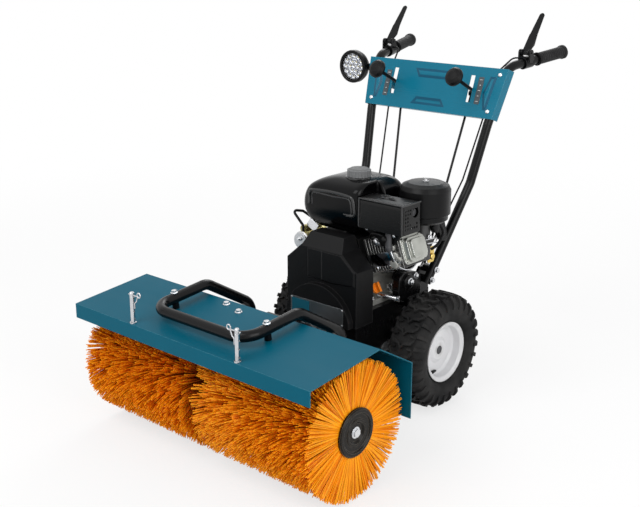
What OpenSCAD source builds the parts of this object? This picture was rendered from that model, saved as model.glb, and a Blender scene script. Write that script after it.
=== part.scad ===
// Walk-behind power brush sweeper, sizes in millimetres.
// Front faces -Y, the ground is Z = 0 and X = 0 is the middle of the machine.

/* [Brush] */
// Outer diameter of the bristles
brush_d = 350; // [330:1:380]
// Width of the brush over the bristle tips
brush_len = 803; // [700:1:830]
// Radius of the ring that the tufts stand on
core_r = 50; // [46:1:56]
// Gap between the bristle tips of the two halves
brush_gap = 27; // [25:1:40]
// Rows of tufts around each half
tuft_rows = 18; // [14:1:20]
// Tufts along each half
tuft_cols = 12; // [8:1:12]
// Lean of the outermost tufts past the ring
tuft_lean = 8; // [4:1:14]
// Radius of the brush shaft
brush_shaft_r = 15; // [12:0.5:18]
// Radius of the end caps
cap_r = 61; // [56:1:66]
// Height of the end caps
cap_h = 10; // [8:0.5:14]

/* [Hood] */
// Width of the hood
hood_w = 832; // [780:1:900]
// Thickness of the hood sheet
sheet = 2.5; // [2:0.1:3.5]
// Space between the bristles and the front lip
hood_front_gap = 4; // [3.5:0.5:20]
// Height of the hood's back edge over the bristles
hood_top_gap = 19; // [16:1:40]
// Rise of the hood's top from front to back
hood_rise = 24; // [10:1:40]
// Place of the back edge of the hood's top behind the brush axis
hood_back = 62; // [40:1:90]
// Space between the bristles and the rear wall
hood_rear_gap = 14; // [13:0.5:24]
// Drop of the slanted rear panel
slant_drop = 73; // [50:1:90]
// Height of the rear wall's lower edge over the ground
skirt_z = 148; // [110:1:165]
// Depth of the front lip
lip = 39; // [20:1:60]

/* [Bumper and posts] */
// Radius of the bumper tube
bumper_r = 14; // [11:0.5:16]
// Half width of the bumper loop
bumper_x = 165; // [130:1:220]
// Place of the front bar behind the hood's front edge
bumper_set_back = 59; // [45:1:90]
// Height of the tube's middle over the hood
bumper_h = 28; // [24:1:40]
// Bend radius of the bumper tube
bumper_bend = 50; // [36:1:60]
// Half distance between the accessory posts
post_x = 187; // [185:1:240]
// Radius of the accessory posts
post_r = 6; // [5:0.5:8]
// Height of the accessory posts
post_h = 82; // [60:1:110]

/* [Brush drive] */
// Distance between the brush shaft and the worm
worm_centre = 75; // [75:1:75]
// Radius of the worm shaft
worm_shaft_r = 7; // [6:0.5:7.5]
// Teeth of the worm wheel
worm_teeth = 28; // [28:1:28]
// Half width of the gearbox
gearbox_x = 34; // [30:1:40]
// Radius of the brush pulley
brush_pulley_r = 95; // [80:1:98]
// Radius of the engine pulleys
crank_pulley_r = 38; // [32:1:42]

/* [Wheels] */
// Outer diameter of the tyres
tyre_d = 330; // [310:1:350]
// Width of the tyres
tyre_w = 110; // [96:1:116]
// Distance of a wheel's middle from the centre of the machine
wheel_x = 215; // [205:1:240]
// Lugs in each row of the tread
lugs = 18; // [16:1:20]
// Radius of the rim flange
rim_r = 86; // [80:1:92]
// Radius of the drive axle
axle_r = 12.5; // [10:0.5:14]
// Teeth of the axle gear
axle_teeth = 50; // [44:1:52]
// Teeth of the pinion
pinion_teeth = 14; // [12:1:16]
// Gear module
gear_m = 3; // [2.5:0.1:3.2]

/* [Frame] */
// Half width of the frame
frame_x = 122; // [115:1:130]
// Wall of the frame
wall = 3; // [2.5:0.1:4]
// Height of the engine deck
deck_z = 300; // [290:1:320]
// Height of the frame's lower edge
floor_z = 80; // [70:1:82]
// Length of the frame
frame_len = 329; // [326:1:360]
// Distance from the hood's rear wall to the swivel
swivel_back = 61; // [58:1:70]
// Distance from the swivel to the frame
frame_back = 83; // [80:1:95]

/* [Engine] */
// Height of the crank over the deck
crank_h = 106; // [104:1:120]
// Slant of the cylinder
cylinder_a = 20; // [15:1:25]
// Length of the fuel tank
tank_w = 244; // [220:1:256]
// Height of the fuel tank
tank_h = 152; // [130:1:170]
// Radius of the air cleaner
cleaner_r = 70; // [60:1:70]
// Radius of the starter motor
starter_r = 26; // [22:1:32]

/* [Handle] */
// Radius of the handle tubes
handle_r = 13; // [11:0.5:13.5]
// Height of the panel's lower edge
panel_z = 785; // [740:1:820]
// Half width of the panel's lower edge
panel_low_x = 227; // [222:1:250]
// Half width of the panel's upper edge
panel_top_x = 245; // [241:1:270]
// Height of the panel along its face
panel_h = 144; // [130:1:170]
// Radius of the knobs
knob_r = 27; // [22:1:30]
// Length of the squeeze levers
lever_len = 132; // [110:1:150]
// Radius of the work lamp
lamp_r = 50; // [44:1:54]

/* [Hidden] */
$fn = 48;
// Running clearance of shafts, and gap of faces that lie on each other
run_c = 0.05;
seat_c = 0.3;

// Brush head, in the plane across the machine
brush_r = brush_d / 2;
axis_z = brush_r;
worm_z = axis_z + worm_centre;
core_in = gearbox_x + 24;
core_out = brush_len / 2 - tuft_lean;
tip_in = brush_gap / 2;
tip_out = brush_len / 2;
hood_front_y = -(brush_r + hood_front_gap);
hood_back_z = brush_d + hood_top_gap;
hood_front_z = hood_back_z - hood_rise;
hood_rear_y = brush_r + hood_rear_gap;
slant_z = hood_back_z - slant_drop;
hood_path = [
  [hood_front_y, hood_front_z - lip],
  [hood_front_y, hood_front_z],
  [hood_back, hood_back_z],
  [hood_rear_y, slant_z],
  [hood_rear_y, skirt_z]
];
top_a = atan2(hood_rise, hood_back - hood_front_y);

// Bumper tube and posts on the hood
bumper_front_y = hood_front_y + bumper_set_back;
bumper_bolt_y = bumper_front_y + bumper_bend + 22;
leg_y = hood_rear_y + bumper_r + 19;
leg_top_z = slant_z + 4;
leg_end_z = slant_z - 92;
leg_bolt_z = leg_end_z + 22;
post_y = hood_front_y + post_r + 3;
post_holes = 4;
pin_hole_r = 2.2;
clip_r = 1.6;
bolt_r = 4;

// Swivel and universal joint
swivel_y = hood_rear_y + swivel_back;
head_plate = 10;
swivel_plate = 8;
swivel_low_z = worm_z - 74;
swivel_top_z = swivel_low_z + swivel_plate + seat_c;
swivel_r = 60;
kingpin_r = 10;
fork_r = 16;
fork_arm = 7;
fork_in = 17;
cross_r = 5;
flange_t = 10;
flange_x = 65;
flange_half_z = 52;
flange_bolt = [38, 30];
flange_top_z = slant_z - 6;

// Frame and drive
frame_y = swivel_y + frame_back;
frame_end_y = frame_y + frame_len;
bulkhead = 4;
belt_gap = 59;
mid_y = frame_y + bulkhead + belt_gap;
brush_plane = frame_y + 19;
drive_plane = frame_y + 48;
crank_z = deck_z + crank_h;
axle_z = tyre_d / 2;
disc_r = 75;
disc_y = mid_y + bulkhead + 11;
disc_t = 12;
friction_r = 42;
hex_y = disc_y + disc_t + seat_c + friction_r;
hex_r = 10;
gear_dist = gear_m * (axle_teeth + pinion_teeth) / 2;
axle_y = hex_y + gear_dist;
gear_x = 92;
gear_w = 16;
pulley_shaft_r = 10;
disc_shaft_r = 9;
traction_r = 55;
belt_t = 7;
belt_w = 10;
idler_r = 16;
idler_pin_r = 5;
idler_swing = 11;

// Engine
engine_y = mid_y + bulkhead + 4;
case_x = 82;
case_len = 152;
fan_r = min(100, crank_h - 6);
case_foot_x = case_x + 22;
case_foot_h = 14;
cyl_y = engine_y + 76;
cyl_half = 48;
deck_r = 84;
head_r = 165;
cover_r = 200;
case_top_z = deck_z + 186;
tank_z = case_top_z + 4;
tank_front = engine_y + 1;
tank_depth = 185;
guard_z = deck_z + 224;
guard_h = 82;
guard_x = 68;
guard_w = 147;
guard_depth = 84;
cleaner_x = 170;
cleaner_y = engine_y + 160;
cleaner_z = deck_z + 228;
cleaner_h = 112;
tank_left = cleaner_x - cleaner_r - 8 - tank_w;
starter_x = -(case_x + starter_r + 39);
starter_y = engine_y;
starter_z = deck_z + 143;
starter_len = 100;
cap_neck_r = 24;

// Belt cover
cover_wall = 2.5;
cover_x = frame_x + cover_wall + 0.4;
cover_y = frame_y - 5;
cover_z = deck_z - 35;
cover_end_y = engine_y - 4;
arch_y = cover_y - 18;
arch_r = brush_pulley_r + 23;
cover_path = [
  [-cover_x, cover_z],
  [-cover_x, deck_z + 120],
  [-72, deck_z + 165],
  [-58, deck_z + 200],
  [58, deck_z + 200],
  [72, deck_z + 165],
  [cover_x, deck_z + 120],
  [cover_x, cover_z]
];
cover_side = [
  [cover_y, cover_z],
  [cover_y, deck_z + 162],
  [cover_y + 26, deck_z + 200],
  [cover_end_y, deck_z + 200]
];

// Handle, panel and levers
panel_y = axle_y + 227;
panel_t = 2;
press_h = 4;
panel_rise = [48, 136] / norm([48, 136]);
panel_out = [-panel_rise[1], panel_rise[0]];
tube_set = handle_r + panel_t + seat_c;
grip_len = 112;
grip_r = 17;
grip_end_r = 20;
foot_y = axle_y + 48;
foot_z = deck_z + 31;
tube_low_x = panel_low_x - handle_r - 3;
tube_top_x = panel_top_x - handle_r - 4;
function panel_at(x, v, n) = [
  x,
  panel_y + panel_rise[0] * v + panel_out[0] * n,
  panel_z + panel_rise[1] * v + panel_out[1] * n
];
handle_path = [
  [frame_x + 28, foot_y, foot_z],
  [190, axle_y + 191, deck_z + 304],
  panel_at(tube_low_x - 2, -14, -tube_set),
  panel_at(tube_top_x, panel_h + 8, -tube_set),
  panel_at(tube_top_x + 47, panel_h + 8, -tube_set) + [0, 221, 29]
];
grip_dir = unit(handle_path[4] - handle_path[3]);
grip_end = handle_path[4] + grip_dir * 4;
clamp_at = handle_path[3] + grip_dir * 78;
pivot_at = clamp_at + [0, -4, 27];
lever_a = 52;
lever_w = 25;
lever_pin_r = 3;
knob_lever_x = 136;
slot_low = 40;
slot_high = 118;
slot_w = 14;
lever_tilt = 6.8;
lever_back = 70;
lever_fore = 84;
lever_r = 5;
stick_pin_r = 5;
slot_mid = (slot_low + slot_high) / 2;
stick_dir = panel_dir(sin(lever_tilt), cos(lever_tilt));
stick_pivot = panel_at(0, slot_mid, 0) - stick_dir * lever_back;
rod_r = 3.5;
rod_pin_r = 3;
gear_arm = 22;
lock_arm = 48;
gear_rod_x = 112;
lock_rod_x = -118;
gear_rod_end = [gear_rod_x, foot_y + 22, deck_z + 22];
lock_rod_end = [-40, foot_y + 54, deck_z + 30];
lamp_x = -(panel_top_x + lamp_r + 12);
lamp_v = 112;
lamp_at = panel_at(lamp_x, lamp_v, -14);
lamp_pivot = lamp_at + [lamp_r, 16, 0];
function panel_dir(v, n) = [
  0,
  panel_rise[0] * v + panel_out[0] * n,
  panel_rise[1] * v + panel_out[1] * n
];

// The middle of the machine's length stands on the origin
grip_back_y = grip_end[1] + grip_end_r * sqrt(1 - grip_dir[1] * grip_dir[1]);
centre_y = (hood_front_y + grip_back_y) / 2;

// Vectors and paths
function unit(v) = v / norm(v);
function flip_x(p) = [-p[0], p[1], p[2]];
function turn(a, b) = acos(max(-1, min(1, a * b)));
function side(a, b) = let (d = unit(b - a)) [d[1], -d[0]];
// A path moved to its right by t, with mitred corners
function inset(p, t) = let (n = len(p) - 1) [
  for (i = [0:n])
    let (
      m = i == 0 ? side(p[0], p[1]) : side(p[i - 1], p[i]),
      k = i == n ? m : side(p[i], p[i + 1])
    )
    p[i] + t * (m + k) / (1 + m * k)
];
function back(p) = [for (i = [len(p) - 1:-1:0]) p[i]];
function hood_top_z(y) = hood_front_z + (y - hood_front_y) * tan(top_a);
function over_hood(x, y, h) = [x, y - h * sin(top_a), hood_top_z(y) + h * cos(top_a)];

// Local Z along d and local X close to ref
module aim(p, d, ref = [1, 0, 0]) {
  w = unit(d);
  v = unit(cross(w, ref));
  u = cross(v, w);
  multmatrix([
    [u[0], v[0], w[0], p[0]],
    [u[1], v[1], w[1], p[1]],
    [u[2], v[2], w[2], p[2]],
    [0, 0, 0, 1]
  ]) children();
}

// Outline in Y and Z carried along X
module yz(x0, x1) {
  multmatrix([[0, 0, 1, x0], [1, 0, 0, 0], [0, 1, 0, 0], [0, 0, 0, 1]])
    linear_extrude(height = x1 - x0) children();
}

// Outline in X and Z carried along Y
module xz(y0, y1) {
  translate([0, y1, 0]) rotate([90, 0, 0]) linear_extrude(height = y1 - y0) children();
}

module xy(z0, z1) {
  translate([0, 0, z0]) linear_extrude(height = z1 - z0) children();
}

module xcyl(x0, x1, y, z, r) {
  translate([x0, y, z]) rotate([0, 90, 0]) cylinder(h = x1 - x0, r = r);
}

module ycyl(y0, y1, x, z, r) {
  translate([x, y0, z]) rotate([-90, 0, 0]) cylinder(h = y1 - y0, r = r);
}

module block(a, b) {
  translate(a) cube(b - a);
}

module both() {
  children();
  mirror([1, 0, 0]) children();
}

module rod(p, q, r) {
  aim(p, q - p, [0.13, 0.99, 0.07]) cylinder(h = norm(q - p), r = r);
}

module round_rect(w, h, r) {
  translate([r, 0]) square([w - 2 * r, h]);
  translate([0, r]) square([w, h - 2 * r]);
  for (x = [r, w - r], y = [r, h - r]) translate([x, y]) circle(r);
}

// Round rod through points, with true bends a hair thicker than the straights that enter them
module bent_rod(p, r, bend) {
  n = len(p) - 1;
  step = 0.1;
  d = [for (i = [0:n - 1]) unit(p[i + 1] - p[i])];
  a = [for (i = [0:n]) i == 0 || i == n ? 0 : turn(d[i - 1], d[i])];
  t = [for (i = [0:n]) i == 0 || i == n ? 0 : bend * tan(a[i] / 2) - 1];
  for (i = [0:n - 1]) rod(p[i] + d[i] * t[i], p[i + 1] - d[i] * t[i + 1], r);
  for (i = [1:n - 1]) {
    c = p[i] + unit(d[i] - d[i - 1]) * bend / cos(a[i] / 2);
    u = unit(p[i] - d[i - 1] * bend * tan(a[i] / 2) - c);
    v = d[i - 1];
    w = cross(u, v);
    multmatrix([
      [u[0], v[0], w[0], c[0]],
      [u[1], v[1], w[1], c[1]],
      [u[2], v[2], w[2], c[2]],
      [0, 0, 0, 1]
    ]) rotate_extrude(angle = a[i]) translate([bend, 0]) circle(r + step);
  }
}

// Points along a path whose inner corners are rounded to a radius
function round_path(p, bend, steps = 4) = let (n = len(p) - 1) [
  p[0],
  for (i = [1:n - 1])
    let (
      d = unit(p[i] - p[i - 1]),
      e = unit(p[i + 1] - p[i]),
      a = turn(d, e),
      c = p[i] + unit(e - d) * bend / cos(a / 2),
      u = unit(p[i] - d * bend * tan(a / 2) - c)
    )
    for (k = [0:steps]) c + bend * (u * cos(a * k / steps) + d * sin(a * k / steps)),
  p[n]
];

// Thin cord as one skin of flat faces along its points
module cord(p, r, ref, sides = 8) {
  n = len(p) - 1;
  skin = [
    for (i = [0:n])
      let (
        t = unit(p[min(i + 1, n)] - p[max(i - 1, 0)]),
        u = unit(cross(t, ref)),
        v = cross(t, u)
      )
      for (k = [0:sides - 1]) p[i] + r * (u * cos(360 * k / sides) + v * sin(360 * k / sides))
  ];
  function at(i, k) = i * sides + k % sides;
  walls = [
    for (i = [0:n - 1], k = [0:sides - 1])
      each [[at(i, k), at(i + 1, k), at(i + 1, k + 1)], [at(i, k), at(i + 1, k + 1), at(i, k + 1)]]
  ];
  ends = [
    for (k = [1:sides - 2])
      each [[at(0, 0), at(0, k), at(0, k + 1)], [at(n, 0), at(n, k + 1), at(n, k)]]
  ];
  polyhedron(points = skin, faces = concat(walls, ends));
}

// Straight-sided gear outline with a tooth on the +X side
module gear_outline(teeth, m, tip, root) {
  pitch = 360 / teeth;
  r = teeth * m / 2;
  polygon([
    for (i = [0:teeth - 1], k = [[r - 1.2 * m, -root], [r + m, -tip], [r + m, tip], [r - 1.2 * m, root]])
      k[0] * [cos(pitch * (i + k[1])), sin(pitch * (i + k[1]))]
  ]);
}

// Outline of a belt round two pulleys, the second at height d over the first
module belt_outline(r1, r2, d) {
  a = acos((r1 - r2) / d);
  steps = 20;
  // Corners stand out so that the flats between them keep the radius
  c1 = r1 / cos((180 - a) / steps);
  c2 = r2 / cos(a / steps);
  polygon(concat(
    [for (k = [0:steps]) let (t = 90 - a - (360 - 2 * a) * k / steps) c1 * [cos(t), sin(t)]],
    [for (k = [0:steps]) let (t = 90 + a - 2 * a * k / steps) [0, d] + c2 * [cos(t), sin(t)]]
  ));
}

module hex_bolt(shank_r, shank, head = 0) {
  cylinder(h = 1.8, r = 2.4 * shank_r);
  cylinder(h = 1.8 + 1.4 * shank_r + head, r = 1.8 * shank_r, $fn = 6);
  translate([0, 0, -shank]) cylinder(h = shank + 1, r = shank_r);
}

// V-belt pulley on the local Z axis, middle of its groove at Z = 0
module pulley(r, half_w) {
  rim = r + 5;
  difference() {
    rotate_extrude() polygon([
      [0, -half_w], [rim, -half_w], [rim, -half_w + 2], [r, -3.5],
      [r, 3.5], [rim, half_w - 2], [rim, half_w], [0, half_w]
    ]);
    if (r > 60) {
      for (s = [-1, 1]) translate([0, 0, s * (half_w + 4)]) difference() {
        cylinder(h = 2 * half_w, r = r - 12, center = true);
        cylinder(h = 2 * half_w, r = 26, center = true);
      }
    }
  }
}

// One brush half as a closed skin: a ring of cells, each drawn out into a tuft
module brush_half(dir) {
  rows = tuft_rows;
  cols = tuft_cols;
  hole_r = (brush_shaft_r + seat_c) / cos(180 / rows);
  ring = [for (k = [0:cols]) core_in + (core_out - core_in) * k / cols];
  function ang(j) = 270 + 360 * (j - 0.5) / rows;
  function place(x, r, a) = [dir * x, r * cos(a), axis_z + r * sin(a)];
  tip_half = 5;
  tip_turn = 0.07;
  inset_u = 0.2;
  function tip_x(k) = tip_in + tip_half + (tip_out - tip_in - 2 * tip_half) * k / (cols - 1);
  grid = [for (k = [0:cols], j = [0:rows - 1]) place(ring[k], core_r, ang(j))];
  hole = [for (k = [0, cols], j = [0:rows - 1]) place(ring[k], hole_r, ang(j))];
  tufts = [
    for (k = [0:cols - 1], j = [0:rows - 1], q = [[-1, -1], [1, -1], [1, 1], [-1, 1]])
      let (
        x = ring[k] + (ring[k + 1] - ring[k]) * (0.5 + q[0] * (0.5 - inset_u)),
        a = ang(j + 0.5 + q[1] * (0.5 - inset_u))
      )
      place(x, core_r + 0.01, a)
  ];
  // Every other tuft leans a little round the ring, and all end on the brush's radius
  tips = [
    for (k = [0:cols - 1], j = [0:rows - 1], q = [[-1, -1], [1, -1], [1, 1], [-1, 1]])
      let (
        sway = j == 0 ? 0 : 0.1 * sin(137 * (k + cols * j)),
        a = ang(j + 0.5 + q[1] * tip_turn + sway)
      )
      place(tip_x(k) + q[0] * tip_half, brush_r, a)
  ];
  n_grid = len(grid);
  n_hole = len(hole);
  n_tuft = len(tufts);
  function at_grid(k, j) = k * rows + j % rows;
  function at_hole(k, j) = n_grid + k * rows + j % rows;
  function at_tuft(k, j, q) = n_grid + n_hole + 4 * (k * rows + j) + q % 4;
  function at_tip(k, j, q) = n_tuft + at_tuft(k, j, q);
  function quad(a, b, c, d) = dir > 0 ? [[a, b, c], [a, c, d]] : [[c, b, a], [d, c, a]];
  cells = [
    for (k = [0:cols - 1], j = [0:rows - 1])
      let (c = [at_grid(k, j), at_grid(k + 1, j), at_grid(k + 1, j + 1), at_grid(k, j + 1)])
      each concat(
        [
          for (q = [0:3])
            each quad(c[q], c[(q + 1) % 4], at_tuft(k, j, q + 1), at_tuft(k, j, q))
        ],
        [
          for (q = [0:3])
            each quad(at_tuft(k, j, q), at_tuft(k, j, q + 1), at_tip(k, j, q + 1), at_tip(k, j, q))
        ],
        quad(at_tip(k, j, 0), at_tip(k, j, 1), at_tip(k, j, 2), at_tip(k, j, 3))
      )
  ];
  ends = [
    for (j = [0:rows - 1])
      each concat(
        quad(at_grid(0, j), at_grid(0, j + 1), at_hole(0, j + 1), at_hole(0, j)),
        quad(at_grid(cols, j + 1), at_grid(cols, j), at_hole(1, j), at_hole(1, j + 1)),
        quad(at_hole(0, j), at_hole(0, j + 1), at_hole(1, j + 1), at_hole(1, j))
      )
  ];
  polyhedron(points = concat(grid, hole, tufts, tips), faces = concat(cells, ends));
}

// Brush head
module brush_hood() {
  color("teal") difference() {
    yz(-hood_w / 2, hood_w / 2) polygon(concat(hood_path, back(inset(hood_path, sheet))));
    ycyl(hood_rear_y - 3 * sheet, hood_rear_y + sheet, 0, worm_z, fork_r + 8);
    for (x = [-1, 1], z = [-1, 1]) flange_hole(x, z, hood_rear_y - 3 * sheet, hood_rear_y + sheet);
    both() aim(over_hood(bumper_x, bumper_bolt_y, -3 * sheet), over_hood(0, 0, 1) - over_hood(0, 0, 0))
      cylinder(h = 5 * sheet, r = bolt_r + 0.2);
    both() ycyl(hood_rear_y - 3 * sheet, hood_rear_y + sheet, bumper_x, leg_bolt_z, bolt_r + 0.2);
  }
}

module flange_hole(x, z, y0, y1) {
  ycyl(y0, y1, x * flange_bolt[0], worm_z + z * flange_bolt[1], bolt_r + 1.2);
}

module bumper_tube() {
  up = over_hood(0, 0, 1) - over_hood(0, 0, 0);
  half = [
    [bumper_x, leg_y, leg_end_z],
    [bumper_x, leg_y, leg_top_z],
    over_hood(bumper_x, hood_back, bumper_h),
    over_hood(bumper_x, bumper_front_y, bumper_h)
  ];
  path = concat(half, [for (p = back(half)) flip_x(p)]);
  color("black") difference() {
    union() {
      bent_rod(path, bumper_r, bumper_bend);
      both() aim(over_hood(bumper_x, bumper_bolt_y, 0), up) cylinder(h = bumper_h, r = 9);
      both() ycyl(hood_rear_y, leg_y, bumper_x, leg_bolt_z, 9);
    }
    both() aim(over_hood(bumper_x, bumper_bolt_y, -5), up) cylinder(h = bumper_h + 40, r = bolt_r + 0.2);
    both() ycyl(hood_rear_y - 5, leg_y + 40, bumper_x, leg_bolt_z, bolt_r + 0.2);
  }
}

module gearbox() {
  case_r = 68;
  worm_case_r = 30;
  flange_y = hood_rear_y - sheet - flange_t;
  color("dimgray") difference() {
    union() {
      xcyl(-gearbox_x, gearbox_x, 0, axis_z, case_r);
      xcyl(-gearbox_x - 10, gearbox_x + 10, 0, axis_z, brush_shaft_r + 11);
      ycyl(-62, 62, 0, worm_z, worm_case_r);
      block([-10, 30, worm_z - 32], [10, flange_y + 1, worm_z + 32]);
      block([-flange_x, flange_y, worm_z - flange_half_z],
        [flange_x, flange_y + flange_t, flange_top_z]);
    }
    xcyl(-16, 16, 0, axis_z, case_r - 6);
    ycyl(-46, 46, 0, worm_z, worm_case_r - 6);
    xcyl(-brush_len, brush_len, 0, axis_z, brush_shaft_r + run_c);
    ycyl(-56, hood_rear_y, 0, worm_z, worm_shaft_r + run_c);
    for (x = [-1, 1], z = [-1, 1]) flange_hole(x, z, flange_y - 1, hood_rear_y);
  }
}

module head_bracket() {
  plate_y = hood_rear_y + head_plate;
  gusset_x = 52;
  color("black") difference() {
    union() {
      block([-75, hood_rear_y, swivel_top_z], [75, plate_y, worm_z + flange_half_z]);
      xy(swivel_top_z, swivel_top_z + swivel_plate) {
        translate([-swivel_r, plate_y - 1]) square([2 * swivel_r, swivel_y - plate_y + 1]);
        translate([0, swivel_y]) circle(swivel_r);
      }
      both() yz(gusset_x, gusset_x + 6) polygon([
        [plate_y - 1, swivel_top_z + 2], [plate_y - 1, worm_z + 38], [plate_y + 12, worm_z + 38],
        [swivel_y - 8, swivel_top_z + swivel_plate], [swivel_y - 8, swivel_top_z + 2]
      ]);
    }
    translate([0, swivel_y, 0]) cylinder(h = worm_z, r = kingpin_r + run_c);
    ycyl(hood_rear_y - 1, plate_y + 1, 0, worm_z, fork_r + 8);
    for (x = [-1, 1], z = [-1, 1]) flange_hole(x, z, hood_rear_y - 1, plate_y + 1);
  }
}

module accessory_posts() {
  foot = hood_top_z(post_y);
  step = (post_h - 20) / (post_holes - 1);
  // A weld collar at the foot, with a relief above it so that a sleeve clears the sloped hood
  collar = post_r + 2.5;
  relief = post_r - 0.8;
  // The sleeve's seat ends in a groove under the top hole, where the clip keeps it down
  seat_top = post_h - 13;
  color("silver") both() difference() {
    translate([post_x, post_y, foot]) rotate_extrude() polygon([
      [0, -4], [collar, -4], [collar, 3], [relief, 3], [relief, 4], [post_r, 4], [post_r, seat_top],
      [relief, seat_top], [relief, seat_top + 1.5], [post_r, seat_top + 1.5], [post_r, post_h - 2],
      [post_r - 2, post_h], [0, post_h]
    ]);
    translate(over_hood(post_x, post_y, -20)) rotate([top_a, 0, 0])
      cube([60, 60, 40], center = true);
    for (i = [0:post_holes - 1])
      xcyl(post_x - 20, post_x + 20, post_y, foot + post_h - 8 - i * step, pin_hole_r);
  }
}

// R-clip in the top hole of the post at +X, its eye towards the middle of the hood
module clip() {
  eye_r = 6;
  reach = 22;
  z = hood_top_z(post_y) + post_h - 8;
  function at(x, h) = [post_x + x, post_y, z + h];
  color("gainsboro") {
    rod(at(post_r + 6, 0), at(-reach, 0), clip_r);
    translate(at(-reach - eye_r + 1, 4)) rotate([90, 0, 0]) rotate_extrude() translate([eye_r, 0])
      circle(clip_r);
    bent_rod([at(-reach, -1.5), at(-reach + 5, -14), at(-post_r - 3.6, -20), at(-post_r - 3.8, -34)],
      clip_r, 6);
  }
}

module left_clip() {
  mirror([1, 0, 0]) clip();
}

module right_clip() {
  clip();
}

module head_bolts() {
  up = over_hood(0, 0, 1) - over_hood(0, 0, 0);
  plate_y = hood_rear_y + head_plate;
  color("silver") {
    both() aim(over_hood(bumper_x, bumper_bolt_y, bumper_h + bumper_r), up)
      hex_bolt(bolt_r, bumper_h + bumper_r + 2);
    both() translate([bumper_x, leg_y + bumper_r, leg_bolt_z]) rotate([-90, 0, 0])
      hex_bolt(bolt_r, leg_y + bumper_r - hood_rear_y + 2);
    for (x = [-1, 1], z = [-1, 1])
      translate([x * flange_bolt[0], plate_y, worm_z + z * flange_bolt[1]]) rotate([-90, 0, 0])
        hex_bolt(bolt_r + 1, head_plate + sheet + flange_t - 2);
    for (p = [[-8, 23], [-70, 40]]) aim(over_hood(p[0], p[1], 0), up) hex_bolt(bolt_r, 0);
  }
}

// Brush
module brush_shaft() {
  color("gray") {
    difference() {
      xcyl(-core_out, core_out, 0, axis_z, brush_shaft_r);
      both() xcyl(core_out - 30, core_out + 1, 0, axis_z, 6 + run_c);
    }
    translate([0, 0, axis_z]) yz(-13, 13) difference() {
      gear_outline(worm_teeth, 4, 0.1, 0.26);
      circle(brush_shaft_r - 1);
    }
  }
}

module left_brush() {
  color("orange") brush_half(-1);
}

module right_brush() {
  color("orange") brush_half(1);
}

module brush_caps() {
  hub_r = 20;
  color("#222222") both() translate([core_out, 0, axis_z]) rotate([90, 0, 90]) rotate_extrude() polygon([
    [6.2, 0], [cap_r - 3, 0], [cap_r, 3], [cap_r, cap_h - 3], [cap_r - 4, cap_h],
    [cap_r - 11, cap_h], [cap_r - 15, cap_h - 4], [hub_r + 16, cap_h - 4], [hub_r + 13, cap_h - 2],
    [hub_r + 8, cap_h - 2], [hub_r + 2, 3], [6.2, 3]
  ]);
}

module cap_bolts() {
  color("silver") both() translate([core_out + 3, 0, axis_z]) rotate([0, 90, 0]) hex_bolt(6, 28, -3);
}

module worm_shaft() {
  turns = 4;
  lead = 4 * PI;
  fork_y = swivel_y - 28;
  half_turn = [
    for (k = [[-90, 13], [-62, 18.5], [-38, 23], [-19, 23], [0, 23], [19, 23], [38, 23], [62, 18.5],
      [90, 13]])
      k[1] * [sin(k[0]), -cos(k[0])]
  ];
  color("silver") translate([0, 0, worm_z]) {
    ycyl(-54, fork_y, 0, 0, worm_shaft_r);
    ycyl(-40, 40, 0, 0, 14);
    rotate([-90, 0, 0])
      linear_extrude(height = turns * lead, center = true, twist = -360 * turns, slices = 40, $fn = 8)
        polygon(half_turn);
    difference() {
      union() {
        ycyl(fork_y - 17, fork_y, 0, 0, fork_r);
        for (s = [0, 1]) mirror([0, 0, s]) {
          block([-9, fork_y - 6, fork_in], [9, swivel_y, fork_in + fork_arm]);
          translate([0, swivel_y, fork_in]) cylinder(h = fork_arm, r = 9);
          block([-9, fork_y - 6, 0], [9, fork_y, fork_in + fork_arm]);
        }
      }
      translate([0, swivel_y, 0]) cylinder(h = 80, r = cross_r + run_c, center = true);
    }
  }
}

module brush_pulley() {
  fork_y = swivel_y + 28;
  color("darkgray") translate([0, 0, worm_z]) {
    ycyl(fork_y, mid_y + bulkhead + 4, 0, 0, pulley_shaft_r);
    translate([0, brush_plane, 0]) rotate([-90, 0, 0]) pulley(brush_pulley_r, 9);
    difference() {
      union() {
        ycyl(fork_y, fork_y + 17, 0, 0, fork_r);
        for (s = [0, 1]) mirror([s, 0, 0]) {
          block([fork_in, swivel_y, -9], [fork_in + fork_arm, fork_y + 6, 9]);
          xcyl(fork_in, fork_in + fork_arm, swivel_y, 0, 9);
          block([0, fork_y, -9], [fork_in + fork_arm, fork_y + 6, 9]);
        }
      }
      xcyl(-40, 40, swivel_y, 0, cross_r + run_c);
    }
    xcyl(-fork_in - fork_arm, fork_in + fork_arm, swivel_y, 0, cross_r);
    translate([0, swivel_y, 0]) cylinder(h = 2 * (fork_in + fork_arm), r = cross_r, center = true);
    translate([0, swivel_y, 0]) cube(18, center = true);
  }
}

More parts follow.
